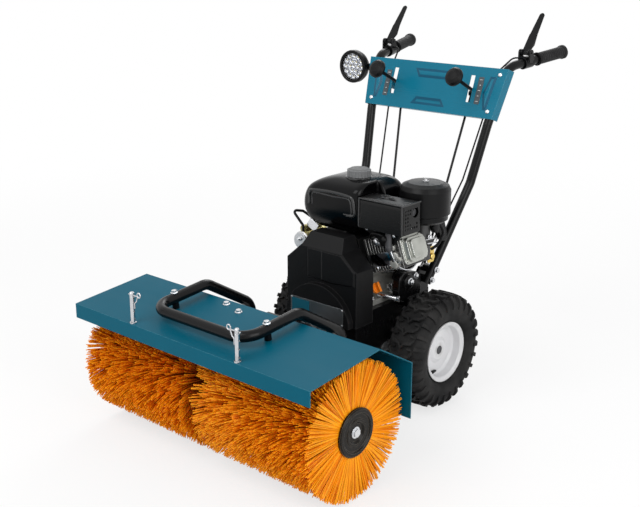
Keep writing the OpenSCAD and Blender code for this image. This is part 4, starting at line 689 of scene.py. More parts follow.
NODES_OF: dict[Finish, str] = {
    BLACK_COAT: "frame_housing bottom_cover left_handle right_handle handle_brackets bumper_tube "
    "head_bracket traction_lever brush_lever gear_rod lock_rod",
    IRON: "exhaust_muffler gearbox brush_pulley crank_pulley drive_axle brush_idler drive_idler",
    STEEL_X: "bearings brush_shaft hex_shaft",
    STEEL_Y: "worm_shaft friction_disc swivel_lock",
    ZINC: "chassis_bolts head_bolts cap_bolts",
    CHROME: "accessory_posts left_clip right_clip",
    KNOB: "cables gear_lever lock_lever headlight",
    BELT: "brush_belt drive_belt friction_wheel",
    GUARD: "muffler_guard recoil_housing",
    RIM: "left_rim right_rim",
    COVER: "belt_cover",
    BLOCK: "engine_block",
    FINS: "cylinder",
    VALVE: "valve_cover",
    AIR_BOX: "air_cleaner",
    CARB: "carburettor",
    STARTER: "starter_motor",
    PANEL_TEAL: "control_panel",
    GRIP: "hand_grips",
    TEAL: "brush_hood",
    CAP: "brush_caps",
    GREY_CAP: "fuel_cap",
    ORANGE_CAP: "oil_dipstick",
}


class Form:
    """Gathers grids of points, in machine millimetres, into one mesh piece."""

    def __init__(self, name: str) -> None:
        """Start an empty piece."""
        self.name = name
        self.points: list[Points] = []
        self.faces: list[Points] = []
        self.count = 0
        self.fields: dict[str, list[Points]] = {}

    def add(self, points: Points, faces: Sequence[Points]) -> Form:
        """Add points with faces that count from the first of them."""
        self.points.append(np.asarray(points, float).reshape(-1, 3))
        self.faces.extend(np.asarray(f, int) + self.count for f in faces)
        self.count += len(self.points[-1])
        return self

    def grid(self, points: Points, wrap_rows: bool = False, close: bool = True) -> Form:
        """Add a tube-like grid of rows along a path and columns round it, its ends closed by fans.

        Args:
            points: an array of rows by columns by 3.
            wrap_rows: whether the last row joins the first.
            close: whether the open ends get a fan to their middle.

        Returns:
            This piece.
        """
        rows, cols = points.shape[:2]
        faces = [grid_faces(rows, cols, wrap_rows)]
        flat = points.reshape(-1, 3)
        if close and not wrap_rows:
            a, last = np.arange(cols), (rows - 1) * cols
            b = (a + 1) % cols
            first_hub, last_hub = np.full(cols, len(flat)), np.full(cols, len(flat) + 1)
            faces.append(np.stack([first_hub, b, a], -1))
            faces.append(np.stack([last_hub, last + a, last + b], -1))
            flat = np.concatenate([flat, points[:1].mean(1), points[-1:].mean(1)])
        return self.add(flat, faces)

    def many(self, points: Points) -> Form:
        """Add many equal bars at once, as bars by rows by columns by 3, each with flat ends."""
        n, rows, cols = points.shape[:3]
        start = (np.arange(n) * rows * cols)[:, None, None]
        rim = np.arange(cols)
        ends = np.stack([rim[::-1], (rows - 1) * cols + rim])
        sides = (grid_faces(rows, cols)[None] + start).reshape(-1, 4)
        return self.add(points, [sides, (ends[None] + start).reshape(-1, cols)])

    def sweep(
        self,
        path: Path,
        outline: Points,
        up: Vec = (0.31, 0.2, 0.93),
        scale: Points | None = None,
    ) -> Form:
        """Carry an outline along a path: its first axis leans to up, its second is square to both.

        Args:
            path: the points of the path.
            outline: the section, counter-clockwise.
            up: the direction that the section's first axis leans to.
            scale: a size for the section at each point.

        Returns:
            This piece.
        """
        path = np.asarray(path, float)
        along = unit(np.gradient(path, axis=0))
        lean = np.asarray(up, float)
        first = unit(lean - (along @ lean)[:, None] * along)
        second = np.cross(along, first)
        size = np.ones(len(path)) if scale is None else np.asarray(scale, float)
        flat = outline[None] * size[:, None, None]
        return self.grid(path[:, None] + flat[..., :1] * first[:, None] + flat[..., 1:] * second[:, None])

    def tube(self, path: Path, radius: float, sides: int) -> Form:
        """Carry a circle along a path."""
        return self.sweep(path, circle(radius, sides))

    def lathe(self, profile: Path, at: Vec, axis: Vec, sides: int, ring: bool = False) -> Form:
        """Turn a profile about an axis: a point is at + height along the axis + radius round it.

        Args:
            profile: pairs of radius and height, upwards on the outside.
            at: the point that heights are measured from.
            axis: the direction of the axis.
            sides: points round the axis.
            ring: whether the profile closes on itself, in place of flat ends.

        Returns:
            This piece.
        """
        profile = np.asarray(profile, float)
        axis = unit(axis)
        lean = np.array((0.0, 0.0, 1.0)) if abs(axis[2]) < 0.8 else np.array((1.0, 0.0, 0.0))
        first = unit(lean - (lean @ axis) * axis)
        second = np.cross(axis, first)
        turn = circle(1.0, sides)
        spoke = turn[:, :1] * first + turn[:, 1:] * second
        points = np.asarray(at, float) + profile[:, None, 1:] * axis + profile[:, None, :1] * spoke[None]
        return self.grid(points, wrap_rows=ring)

    def plate(self, outline: Points, at: Vec, u: Vec, v: Vec, thick: float) -> Form:
        """Raise a flat outline into a plate: the outline lies on u and v, and rises along their cross."""
        u, v = unit(u), unit(v)
        flat = np.asarray(at, float) + outline[:, :1] * u + outline[:, 1:] * v
        return self.grid(np.stack([flat, flat + thick * np.cross(u, v)]))

    def bolt(self, at: Vec, axis: Vec, across: float, washer: bool = True) -> Form:
        """Add a hexagon head, narrower at its rounded top, on a washer."""
        r = across / HEXAGON
        if washer:
            self.lathe([(0.75 * across, 0), (0.75 * across, 1.4), (0.7 * across, 1.6)], at, axis, 20)
        rise = 1.6 if washer else 0.0
        head = [(r, rise), (r, rise + 0.45 * across), (0.82 * r, rise + 0.52 * across)]
        return self.lathe(head, at, axis, 6)

    def field(self, name: str, values: Points) -> None:
        """Keep one number for each point added last."""
        self.fields.setdefault(name, []).append(np.asarray(values, np.float32).ravel())

    def build(self, finish: Finish, body: str, soft: float = 0.0, angle: float = 38.0) -> bpy.types.Object:
        """Make the object, dress it and let it ride.

        Args:
            finish: the finish it gets.
            body: the body it moves with.
            soft: width of the bevel on its edges, in millimetres.
            angle: edges that turn by more than this stay sharp, in degrees.

        Returns:
            The finished object.
        """
        points = machine(np.concatenate(self.points))
        sizes = np.concatenate([np.full(len(f), f.shape[1]) for f in self.faces])
        corners = np.concatenate([f.ravel() for f in self.faces])
        mesh = bpy.data.meshes.new(self.name)
        mesh.vertices.add(len(points))
        mesh.vertices.foreach_set("co", points.astype(np.float32).ravel())
        mesh.loops.add(len(corners))
        mesh.loops.foreach_set("vertex_index", corners.astype(np.int32))
        mesh.polygons.add(len(sizes))
        mesh.polygons.foreach_set("loop_start", (np.cumsum(sizes) - sizes).astype(np.int32))
        mesh.polygons.foreach_set("use_smooth", np.ones(len(sizes), bool))
        mesh.update(calc_edges=True)
        mesh.set_sharp_from_angle(angle=math.radians(angle))
        for name, parts in self.fields.items():
            mesh.attributes.new(name, "FLOAT", "POINT").data.foreach_set("value", np.concatenate(parts))
        mesh.materials.append(finish.material())
        made = bpy.data.objects.new(self.name, mesh)
        bpy.context.scene.collection.objects.link(made)
        if soft:
            bevel = made.modifiers.new("soft_edge", "BEVEL")
            bevel.width, bevel.segments = soft / 1000.0, 2
            bevel.limit_method, bevel.angle_limit = "ANGLE", math.radians(angle)
        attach(made, body)
        LOG.info("%s: %d points, rides on %s", self.name, len(points), body)
        return made


@dataclass
class BrushRolls:
    """The two bristle rolls, strand by strand, on their core rings."""

    roll_radius: float = 175.0
    ring_radius: float = 50.0
    bore: float = 15.4
    axle_height: float = 175.0
    root_span: Pair = (58.0, 393.5)
    tip_span: Pair = (13.5, 400.5)
    bays: int = 3
    strands: int = 2900
    end_strands: int = 760
    thickness: float = 1.3
    clumps: int = 84
    clump_pull: float = 0.55
    rings: int = 26
    tufts: int = 36
    tuft_half: float = 0.42
    tip_sway: Pair = (4.5, 0.030)
    tip_scatter: Pair = (1.0, 0.008)
    tip_wear: float = 8.0
    tip_trim: float = 0.5
    tip_room: float = 4.0
    root_sink: float = 2.0
    thick_spread: Pair = (0.85, 1.15)
    taper: Pair = (1.05, 0.12)
    bend: Pair = (0.6, 0.004)
    fan_loose: float = 0.35
    fan_depth: float = 0.3
    fan_share: float = 0.02
    # mean tint of the roll's strands, mean tint of the outer end's fan, and their spread; the fan's paler
    # mean is painted light on the end face
    tint: Place = (0.45, 0.8, 0.28)
    seed: int = 11

    def strands_of(
        self,
        rng: np.random.Generator,
        side: Side,
        share: Points,
        fan: bool,
    ) -> tuple[Points, Points, Points]:
        """Work out strands that stand at given shares of the roll's length.

        Each strand belongs to a tuft. Its root is on the ring near the tuft's place, and its tip is on the
        roll's radius, where the tuft's place is stretched to the tip span and swayed. Between them the place
        along the axle and the angle are straight lines plus a bow of 4t(1-t), and three points round that
        line make the section. The end's fan is even at its roots, and its tips draw together in clumps.

        Args:
            rng: the random numbers.
            side: the half that the strands stand on.
            share: a place for each strand, from 0 at the inner end to 1 at the outer.
            fan: whether the strands are the flat fan of the outer end.

        Returns:
            Points (strands, 5, 3, 3), each strand's tint, and the way along it.
        """
        n = len(share)
        loose = self.fan_loose if fan else 1.0
        tuft = rng.integers(0, self.tufts, n)
        ring = np.floor(share * (self.rings - 1e-6)).astype(int)
        sway = loose * rng.normal(0, 1, (self.rings, self.tufts, 2))[ring, tuft]
        root_share = 1.0 - self.fan_depth * (1.0 - share) if fan else share
        root_x = self.root_span[0] + root_share * (self.root_span[1] - self.root_span[0])
        tip_x = self.tip_span[0] + share * (self.tip_span[1] - self.tip_span[0])
        tip_x = tip_x + self.tip_sway[0] * sway[:, 0] + rng.normal(0, self.tip_scatter[0] * loose, n)
        tip_x = np.clip(tip_x, *self.tip_span)
        pitch = 2 * math.pi / self.tufts
        slack = self.tip_scatter[1]
        angle = np.arange(n) * 2 * math.pi / n + rng.uniform(-slack, slack, n)
        if not fan:
            angle = (tuft + 0.5 * (ring % 2) + rng.uniform(-self.tuft_half, self.tuft_half, n)) * pitch
        tip_angle = angle + self.tip_sway[1] * sway[:, 1] + rng.normal(0, slack, n)
        if fan:
            clump = 2 * math.pi / self.clumps
            tip_angle += self.clump_pull * (np.round(angle / clump) * clump - angle)
        reach = self.roll_radius - self.tip_trim - np.abs(rng.normal(0, self.tip_wear, n))
        t = np.linspace(0, 1, 5)[None]
        bow = 4 * t * (1 - t)
        x = root_x[:, None] + (tip_x - root_x)[:, None] * t
        x = x + rng.normal(0, self.bend[0] * loose, n)[:, None] * bow
        x = np.clip(x, self.tip_span[0], self.tip_span[1] + self.tip_room)
        root = self.ring_radius - self.root_sink
        r = root + (reach - root)[:, None] * t
        a = angle[:, None] + (tip_angle - angle)[:, None] * t
        a = a + rng.normal(0, self.bend[1] * loose, n)[:, None] * bow
        radial = np.stack([np.zeros_like(a), np.cos(a), np.sin(a)], -1)
        axial = np.broadcast_to((1.0, 0.0, 0.0), radial.shape)
        tangent = np.cross(radial, axial)
        middle = radial * r[..., None] + axial * (side.value * x)[..., None] + (0.0, 0.0, self.axle_height)
        turn = rng.uniform(0, 2 * math.pi, n)[:, None, None] + np.arange(3) * 2 * math.pi / 3
        thick = self.thickness * rng.uniform(*self.thick_spread, n)[:, None]
        thick = (thick * (self.taper[0] - self.taper[1] * t))[..., None]
        offset = np.cos(turn)[..., None] * axial[:, :, None] + np.sin(turn)[..., None] * tangent[:, :, None]
        points = middle[:, :, None] + offset * thick[..., None]
        # the fan's strands draw from a paler mean tint: painted light on the end face
        tint = np.clip(rng.normal(self.tint[fan], self.tint[2], n), 0, 1)
        along = np.where(fan, 1.0, t)[..., None]
        return points, *(np.broadcast_to(field, points.shape[:3]) for field in (tint[:, None, None], along))

    def build(self) -> None:
        """Fill both halves bay by bay, with a dense fan at the outer end, and add the core rings."""
        rng = np.random.default_rng(self.seed)
        for side in Side:
            half = f"{side.name.lower()}_brush"
            core = Form(f"{half}_core")
            x0, x1 = (side.value * x for x in self.root_span)
            profile = [(self.bore, x0), (self.ring_radius, x0), (self.ring_radius, x1), (self.bore, x1)]
            core.lathe(profile[:: side.value], (0, 0, self.axle_height), ACROSS, 48, ring=True)
            # the core ring takes the palest tint, painted light on the end face, and no painted root shade
            core.field("tint", np.ones(core.count))
            core.field("along", np.ones(core.count))
            made = core.build(BRISTLE, "brush")
            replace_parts(made, half)
            for bay in range(self.bays):
                form = Form(f"{half}_bristles_{bay}")
                share = (bay + rng.random(self.strands)) / self.bays
                groups = [self.strands_of(rng, side, share, False)]
                if bay == self.bays - 1:
                    outer = 1.0 - self.fan_share * rng.random(self.end_strands)
                    groups.append(self.strands_of(rng, side, outer, True))
                for points, tint, along in groups:
                    form.many(points)
                    form.field("tint", tint)
                    form.field("along", along)
                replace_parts(form.build(BRISTLE, "brush", angle=80.0), half)


@dataclass
class TreadTyres:
    """Both tyres: a rounded carcass, zigzag bars over the crown and blocks over the shoulders."""

    wheel_x: float = WHEEL_X
    axle: Pair = AXLE
    half_section: Outline = (
        *((0.0, 154.4), (22.0, 153.6), (38.0, 151.0), (48.0, 145.0), (53.4, 135.0)),
        *((54.6, 121.0), (53.4, 107.0), (49.0, 96.5), (43.0, 90.0), (39.6, 78.2)),
    )
    bars: int = 28
    bar_rise: float = 10.2
    sink: float = 3.0
    around: int = 112
    crown_half: float = 35.0
    zigzag: Pair = (0.52, 0.12)
    bar_width: Pair = (8.5, 3.0)
    top_share: float = 0.82
    shoulder: Pair = (39.0, 33.0)
    block_width: Pair = (12.5, 4.0)
    block_drop: Pair = (0.8, 0.72)
    stub: Pair = (20.0, 17.0)
    stub_width: float = 6.5
    stub_lead: float = 0.1
    stub_rise: float = 0.8
    shifts: Pair = (0.5, 0.62)

    def section(self) -> tuple[Points, Points, Points]:
        """Give the section from bead to bead: points (across, radius), outward normals and arc length."""
        half = smooth_path(self.half_section, 6)
        full = np.concatenate([(half * (-1, 1))[:0:-1], half])
        step = np.gradient(full, axis=0)
        normal = unit(np.stack([-step[:, 1], step[:, 0]], -1))
        length = np.concatenate([[0], np.cumsum(np.linalg.norm(np.diff(full, axis=0), axis=1))])
        return full, normal, length - length[-1] / 2

    def turned(self, section: Points, angle: Points, side: Side) -> Points:
        """Put section points (across, radius) at angles round the axle of one wheel."""
        across, radius, angle = np.broadcast_arrays(section[..., 0], section[..., 1], angle)
        y, z = self.axle[0] + radius * np.cos(angle), self.axle[1] + radius * np.sin(angle)
        return np.stack([side.value * self.wheel_x + across, y, z], -1)

    def lugs(
        self,
        side: Side,
        span: Points,
        bend: Points,
        width: Points,
        rise: Points,
        shift: float,
    ) -> Points:
        """Stand a ring of bars on the carcass.

        Each station of a bar has two points sunk under the section and two raised along its normal, half a
        width before and behind the bar's angle.

        Args:
            side: the wheel.
            span: arc lengths from the crown's middle, one for each station.
            bend: how far each station leads, in pitches.
            width: the bar's width at each station.
            rise: its height at each station.
            shift: how far the whole ring is turned, in pitches.

        Returns:
            Bars by stations by 4 by 3.
        """
        full, normal, length = self.section()
        foot = np.stack([np.interp(span, length, full[:, i]) for i in (0, 1)], -1)
        out = unit(np.stack([np.interp(span, length, normal[:, i]) for i in (0, 1)], -1))
        low, top = foot - self.sink * out, foot + rise[:, None] * out
        pitch = 2 * math.pi / self.bars
        middle = (np.arange(self.bars)[:, None] + bend[None] + shift) * pitch
        half = 0.5 * width / foot[:, 1]
        corners = ((low, -1.0), (top, -self.top_share), (top, self.top_share), (low, 1.0))
        return np.stack([self.turned(p[None], middle + k * half, side) for p, k in corners], 2)

    def build(self) -> None:
        """Build each tyre in the place of its solid."""
        angle = np.arange(self.around) * 2 * math.pi / self.around
        u = np.linspace(-1, 1, 9)
        reach = np.linspace(0, 1, 5)
        zigzag = self.zigzag[0] * (1 - np.abs(u)) + self.zigzag[1] * np.cos(3 * math.pi * u)
        width = self.bar_width[0] + self.bar_width[1] * np.abs(u)
        crown = np.full(len(u), self.bar_rise)
        block = self.block_width[0] - self.block_width[1] * reach
        height = (self.bar_rise - self.block_drop[0]) * (1 - self.block_drop[1] * reach)
        narrow = np.full(len(reach), self.stub_width)
        for side in Side:
            name = f"{side.name.lower()}_tyre"
            form = Form(f"{name}_tread")
            full = self.section()[0]
            form.grid(self.turned(full[:, None], angle[None], side), wrap_rows=True)
            form.many(self.lugs(side, self.crown_half * u, zigzag, width, crown, 0.0))
            for end in Side:
                order = slice(None, None, end.value)
                span, stub = (end.value * (a + b * reach)[order] for a, b in (self.shoulder, self.stub))
                form.many(self.lugs(side, span, 0 * reach, block[order], height[order], self.shifts[0]))
                lead, rise = self.stub_lead * reach[order], self.stub_rise * height[order]
                form.many(self.lugs(side, stub, lead, narrow, rise, self.shifts[1]))
            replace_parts(form.build(TYRE, "axle", angle=30.0), name)


@dataclass
class WheelTrim:
    """Rubber valve stems with caps, standing in the rims' dishes."""

    wheel_x: float = WHEEL_X
    axle: Pair = AXLE
    dish: float = 8.0
    arm: Pair = (-8.0, -64.0)
    bends: tuple[Place, ...] = ((0, 16, -6), (5, 0, 0), (11, -17, 3))
    stem: float = 4.6
    cap: Outline = ((3.2, -1), (3.4, 9), (2.4, 11))

    def build(self) -> None:
        """Lead a stem from the rim's barrel inwards and outwards on each wheel, and cap it."""
        form = Form("valve_stems")
        for side in Side:
            y, z = self.axle[0] + self.arm[0], self.axle[1] + self.arm[1]
            x = side.value * (self.wheel_x + self.dish)
            path = smooth_path([(x + out * side.value, y + back, z + up) for out, back, up in self.bends], 6)
            form.tube(path, self.stem, 14)
            form.lathe(self.cap, path[-1], path[-1] - path[-2], 12)
        form.build(KNOB, "axle")


@dataclass
class TankShell:
    """The fuel tank as one blown shell with a step for the muffler guard, and its framed front."""

    heights: tuple[float, ...] = (490, 494, 502, 511, 520, 534, 550, 570, 588, 602, 614, 624, 632, 638, 641.5)
    left: tuple[float, ...] = (
        *(-98, -112, -124, -131, -137, -144, -147.5, -146.5, -141, -133, -121, -106, -88, -64, -34),
    )
    front: tuple[float, ...] = (
        *(442, 430, 420, 415, 411, 407.5, 405.6, 405.0, 404.8, 405.2, 407.5, 416, 429, 443, 460),
    )
    right: tuple[float, ...] = (26, 34, 46, 58, 71, 84, 90.5, 91.7, 91.4, 90, 86, 80, 71, 58, 36)
    back: tuple[float, ...] = (
        *(545, 548, 550.5, 552.5, 581, 588, 589.8, 590, 590, 589, 585.5, 580, 573, 564, 548),
    )
    step_x: float = 63.5
    step_y: float = 488.5
    corner: tuple[float, ...] = (36.0, 22.0, 7.0, 10.0, 30.0, 36.0)
    frame_path: Outline = (
        *((-112, 560), (-111, 590), (-100, 600), (-33, 604), (30, 601)),
        *((46, 592), (52, 560), (46, 549), (24, 547)),
    )
    frame_middle: Pair = (-27.0, 556.0)
    ridges: Outline = ((0.0, 4.6), (11.0, 2.6))
    ear: Place = (-155.0, 462.0, 540.0)
    neck: Place = (6.0, 479.0, 641.0)

    def front_at(self, height: Points) -> Points:
        """Give the front face's place at a height."""
        return np.interp(height, self.heights, self.front)

    def build(self) -> None:
        """Loft the stepped outline up the heights, raise the frame's ridges, and set the ear and the neck."""
        z, left, front, right, back = (
            smooth_path(np.array(v, float)[:, None], 3)[:, 0]
            for v in (self.heights, self.left, self.front, self.right, self.back)
        )
        step = np.minimum(self.step_x, right - 2.0)
        edge = np.full_like(z, self.step_y)
        turns = ((left, front), (step, front), (step, edge), (right, edge), (right, back), (left, back))
        corners = np.stack([np.stack(turn, -1) for turn in turns], 1)
        ring = filleted(corners, np.array(self.corner))
        height = np.broadcast_to(z[:, None, None], (*ring.shape[:2], 1))
        shell = Form("fuel_tank_shell").grid(np.concatenate([ring, height], -1))
        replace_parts(shell.build(TANK, "chassis", angle=50.0), "fuel_tank")
        form = Form("fuel_tank_trim")
        ridge = smooth_path(self.frame_path, 8)
        for inward, radius in self.ridges:
            flat = ridge - inward * unit(ridge - np.array(self.frame_middle))
            path = np.stack([flat[:, 0], self.front_at(flat[:, 1]) + 0.6, flat[:, 1]], -1)
            form.tube(path, radius, 12)
        form.plate(rounded(26, 22, 7), self.ear, ACROSS, BACK, 3.0)
        form.lathe([(37, -6), (37, 1.0), (34, 2.0), (25, 2.2)], self.neck, UP, 48)
        # the ridges, the ear and the neck take the lighter black of a painted highlight
        form.build(RIDGE_HIGHLIGHT, "chassis", soft=0.8)


@dataclass
class EngineDress:
    """What is bolted round the cylinder, the carburettor, the muffler guard and the air cleaner."""

    crank: Place = (0.0, 480.0, 406.0)
    tilt: float = 20.0
    shroud: Outline = (
        *((70, 530), (70, 511), (92, 506), (112, 497), (130, 478)),
        *((152, 474), (170, 484), (191, 512), (191, 530)),
    )
    bracket: Outline = (
        *((572, 530), (628, 530), (640, 512), (652, 478), (650, 456)),
        *((630, 458), (616, 486), (590, 500), (572, 506)),
    )
    head_plate: Outline = ((-40, -34), (40, -34), (40, 28), (-40, 28))
    shield_span: Pair = (96.0, 172.0)
    shield_arc: Pair = (176.0, 300.0)
    shield_radius: float = 57.0
    guard_low: Place = (69.0, 403.0, 526.0)
    guard_high: Place = (213.0, 484.0, 604.0)
    guard_roll: float = 2.6
    cleaner: Place = (170.0, 564.0, 639.0)

    def at(self, across: float | Points, up: float | Points, out: float | Points) -> Points:
        """Turn cylinder measures into machine points: across is +Y, out is the bore, up is square to both."""
        c, s = math.cos(math.radians(self.tilt)), math.sin(math.radians(self.tilt))
        across, up, out = np.broadcast_arrays(across, up, out)
        x = self.crank[0] - s * up + c * out
        return np.stack([x, self.crank[1] + across, self.crank[2] + c * up + s * out], -1)

    def heat_shield(self) -> None:
        """Roll a sheet in an arc under the cylinder and edge it with a bright band on the head's side."""
        turn = np.radians(np.linspace(*self.shield_arc, 26))
        across, up = self.shield_radius * np.cos(turn), self.shield_radius * np.sin(turn)
        axis = self.at(0, 0, 1) - self.at(0, 0, 0)
        low, high = self.shield_span
        sheet = Form("heat_shield")
        sheet.sweep(self.at(across, up, 0.5 * (low + high)), rounded(high - low, 2.0, 0.9, 3), axis)
        sheet.build(DARK_CHROME, "chassis")
        band = Form("heat_shield_edge")
        band.sweep(self.at(across * 1.03, up * 1.03, high + 3), rounded(11, 5, 2.2), axis)
        for out in (low + 14, high - 16):
            spot = self.at(-0.80 * self.shield_radius, -0.62 * self.shield_radius, out)
            band.bolt(spot, (-0.2, -0.8, -0.5), 9, False)
        band.build(CHROME, "chassis")

    def head(self) -> None:
        """Add the shroud plate, the plug's hexagon, cast bosses and the nuts of the head."""
        plate = Form("cylinder_shroud")
        plate.plate(filleted(self.shroud, 7.0, 5)[::-1], (0, 425, 0), ACROSS, UP, -3.0)
        lead = [(150, 423, 505), (128, 414, 512), (104, 418, 508), (88, 428, 492)]
        plate.tube(smooth_path(lead, 8), 3.4, 12)
        plate.lathe([(8.5, 0), (8.5, 14), (6.5, 20), (5.0, 24)], (152, 424, 503), (0.1, -1, 0.15), 24)
        plate.build(GUARD, "chassis", soft=1.0)
        metal = Form("head_fasteners")
        metal.bolt((112, 429, 485), FRONT, 15)
        for at in ((176, 421, 515), (84, 421, 518)):
            metal.bolt(at, FRONT, 8, False)
        for across, up in ((-47, 30), (-47, -26), (47, 30), (47, -26)):
            metal.bolt(self.at(across, up, 188), self.at(np.sign(across), 0, 0) - self.at(0, 0, 0), 11)
        metal.build(ZINC, "chassis")
        cast = Form("head_bosses")
        for up, out, size in ((14, 176, 12), (-10, 182, 10), (-32, 172, 13), (-22, 192, 8)):
            profile = [(size, -10), (size, 5), (size - 2, 7), (size - 5, 7.4)]
            cast.lathe(profile, self.at(-48, up, out), FRONT, 20)
        rise = self.at(0, 1, 0) - self.at(0, 0, 0)
        cast.plate(filleted(self.head_plate, 12.0), self.at(0, 0, 196), BACK, rise, 6.0)
        cast.build(CASTING, "chassis", soft=0.8)

    def carburettor(self) -> None:
        """Add the throttle rods, the passivated bracket, the breather hose and the black mounting plate."""
        rods = Form("throttle_rods")
        for route in (
            [(186, 548, 479), (186, 580, 476), (184, 604, 472), (178, 612, 462)],
            [(190, 552, 468), (190, 590, 464), (186, 606, 458)],
        ):
            rods.tube(smooth_path(route, 6), 1.8, 8)
        rods.bolt((181, 597, 507), ACROSS, 11)
        rods.bolt((192, 560, 486), (1, -0.3, 0), 9)
        rods.build(ZINC, "chassis")
        bracket = Form("throttle_bracket")
        bracket.plate(rounded(30, 46, 5), (171, 596, 424), BACK, UP, 2.5)
        bracket.lathe([(9, 0), (9, 8), (7, 10)], (173, 594, 420), ACROSS, 24)
        bracket.build(GOLD, "chassis", soft=0.6)
        black = Form("cleaner_bracket")
        outline = filleted(self.bracket[::-1], 8.0, 5)[::-1]
        black.plate(outline, (168, 0, 0), BACK, UP, 18.0)
        hose = [(188, 586, 524), (196, 606, 508), (197, 616, 485), (190, 604, 456), (176, 590, 440)]
        black.tube(smooth_path(hose, 8), 4.2, 12)
        black.lathe([(15, 0), (15, 10), (12, 14), (6, 15)], (186, 583, 508), (1, 0, 0.1), 28)
        black.build(AIR_BOX, "chassis", soft=1.2)

    def sump(self) -> None:
        """Lead the oil drain out to the side, and bolt the crankcase's foot."""
        pipe = Form("oil_drain")
        pipe.tube([(92, 462, 321), (120, 470, 320), (148, 478, 318)], 6.5, 20)
        pipe.bolt((147, 477.7, 318), (1, 0.28, -0.07), 15, False)
        pipe.bolt((92, 434, 315), UP, 13)
        pipe.bolt((88, 520, 330), (0.2, -0.4, 1), 13)
        pipe.build(ZINC, "chassis")

    def covers(self) -> None:
        """Dimple, bolt and edge the muffler guard, set the starter's tab and the cleaner's wing nut."""
        tab = Form("starter_tab")
        tab.plate(rounded(34, 24, 4), (-126, 436, 487), (0.8, 0.1, -0.5), (0.45, 0.2, 0.85), 2.5)
        tab.bolt((-147, 402.5, 449), FRONT, 9)
        tab.build(ZINC, "chassis", soft=0.5)
        dimple = Form("guard_bolts")
        for x, y in ((112, 462), (142, 446)):
            dimple.lathe([(13, -4), (13, 0.6), (11, 1.6), (9.4, 0.8), (9.2, -2)], (x, y, 606), UP, 32)
            dimple.bolt((x, y, 604), UP, 10, False)
        dimple.build(GUARD, "chassis")
        rim = Form("guard_rolled_edges")
        (x0, y0, z0), (x1, y1, z1) = self.guard_low, self.guard_high
        left, right = (x0, y0, z1), (x1, y0, z1)
        for path in ([(x0, y0, z0), left], [left, right], [(x1, y0, z0), right], [right, (x1, y1, z1)]):
            rim.tube(path, self.guard_roll, 12)
        # the rolled edges take the lighter black of a painted highlight
        rim.build(RIDGE_HIGHLIGHT, "chassis")
        nut = Form("cleaner_wing_nut")
        x, y, z = self.cleaner
        nut.lathe([(8, -1), (8, 0.9), (5, 1.2), (4.4, 5), (2.5, 6)], self.cleaner, UP, 24)
        for way in (-1, 1):
            wing = smooth_path([(x + out * way, y, z + up) for out, up in ((2, 3), (6, 4.5), (9, 8))], 5)
            nut.sweep(wing, rounded(2, 5, 0.9), BACK, np.linspace(1.0, 0.8, len(wing)))
        nut.build(STEEL_Y, "chassis")

    def build(self) -> None:
        """Build every group."""
        self.heat_shield()
        self.head()
        self.carburettor()
        self.sump()
        self.covers()


@dataclass
class FootBracket:
    """The black bracket and stop block beside the right handle's foot, with their bolts."""

    outline: Outline = (
        *((500, 300), (590, 300), (592, 352), (578, 372)),
        *((546, 381), (506, 385), (490, 372), (486, 330)),
    )
    frame_side: float = 122.5
    face: float = 146.0

    def build(self) -> None:
        """Raise both plates off the frame's side and bolt them."""
        form = Form("foot_bracket")
        side = self.frame_side
        form.plate(filleted(self.outline, 12.0, 5), (side, 0, 0), BACK, UP, self.face - side)
        form.lathe([(22, 0), (22, 6), (18, 9), (8, 9.5)], (self.face, 527, 356), ACROSS, 36)
        form.plate(rounded(52, 30, 6), (side, 556, 292), BACK, UP, 30.0)
        form.build(BLACK_COAT, "chassis", soft=2.0)
        bolts = Form("foot_bracket_bolts")
        for x, y, z, size in (
            (self.face + 9, 527, 357, 14),
            (self.face, 564, 364, 12),
            (side + 2.5, 500, 307, 10),
            (side + 2.5, 540, 289, 10),
        ):
            bolts.bolt((x, y, z), ACROSS, size)
        bolts.build(ZINC, "chassis")


@dataclass
class CoverDress:
    """The belt cover's moulded facets and the bare plate on its arch."""

    face: float = 328.0
    sunk: float = 0.6
    facets: tuple[tuple[Outline, Outline, float], ...] = (
        (((-50, 376), (10, 376), (10, 461), (-50, 461)), ((-45, 380), (10, 380), (10, 460), (-45, 460)), 3.3),
        (
            ((-1, 375), (36, 373), (121, 380), (121, 424), (75, 461), (-1, 461)),
            ((7, 381), (37, 379), (117, 386), (117, 422), (72, 460), (7, 460)),
            5.0,
        ),
    )
    arch_face: float = 309.9
    plate_size: Pair = (190.0, 50.0)
    plate_at: Pair = (0.0, 293.0)
    plate_rise: float = 0.8
    field_share: Pair = (0.34, 0.305)
    margin: float = 4.0
    rivet: Outline = ((2.2, 0), (2.0, 0.9), (1.0, 1.4))

    def build(self) -> None:
        """Raise the facets as two low frustums, and lay the plate in two bare fields with rivets."""
        form = Form("cover_facets")
        for foot, top, out in self.facets:
            rims = ((foot, self.face + self.sunk), (top, self.face - out))
            form.grid(np.stack([np.insert(np.array(rim, float), 1, y, axis=1) for rim, y in rims]))
        form.build(COVER, "chassis", angle=12)
        x, z = self.plate_at
        w, h = self.plate_size
        plate = Form("bare_plate").plate(rounded(w, h, 4), (x, self.arch_face, z), ACROSS, UP, 0.9)
        plate.build(NAME_PLATE, "chassis", soft=0.3)
        face = self.arch_face - self.plate_rise
        wide, aside = (share * w for share in self.field_share)
        field = Form("bare_plate_field")
        field.plate(rounded(wide, h - 9, 2), (x - aside, face, z), ACROSS, UP, 0.4)
        field.build(PLATE_FIELD, "chassis")
        rivets = Form("plate_rivets")
        for i in (-1, 1):
            for k in (-1, 1):
                at = (x + i * (w / 2 - self.margin), face, z + k * (h / 2 - self.margin))
                rivets.lathe(self.rivet, at, FRONT, 12)
        rivets.build(ZINC, "chassis")


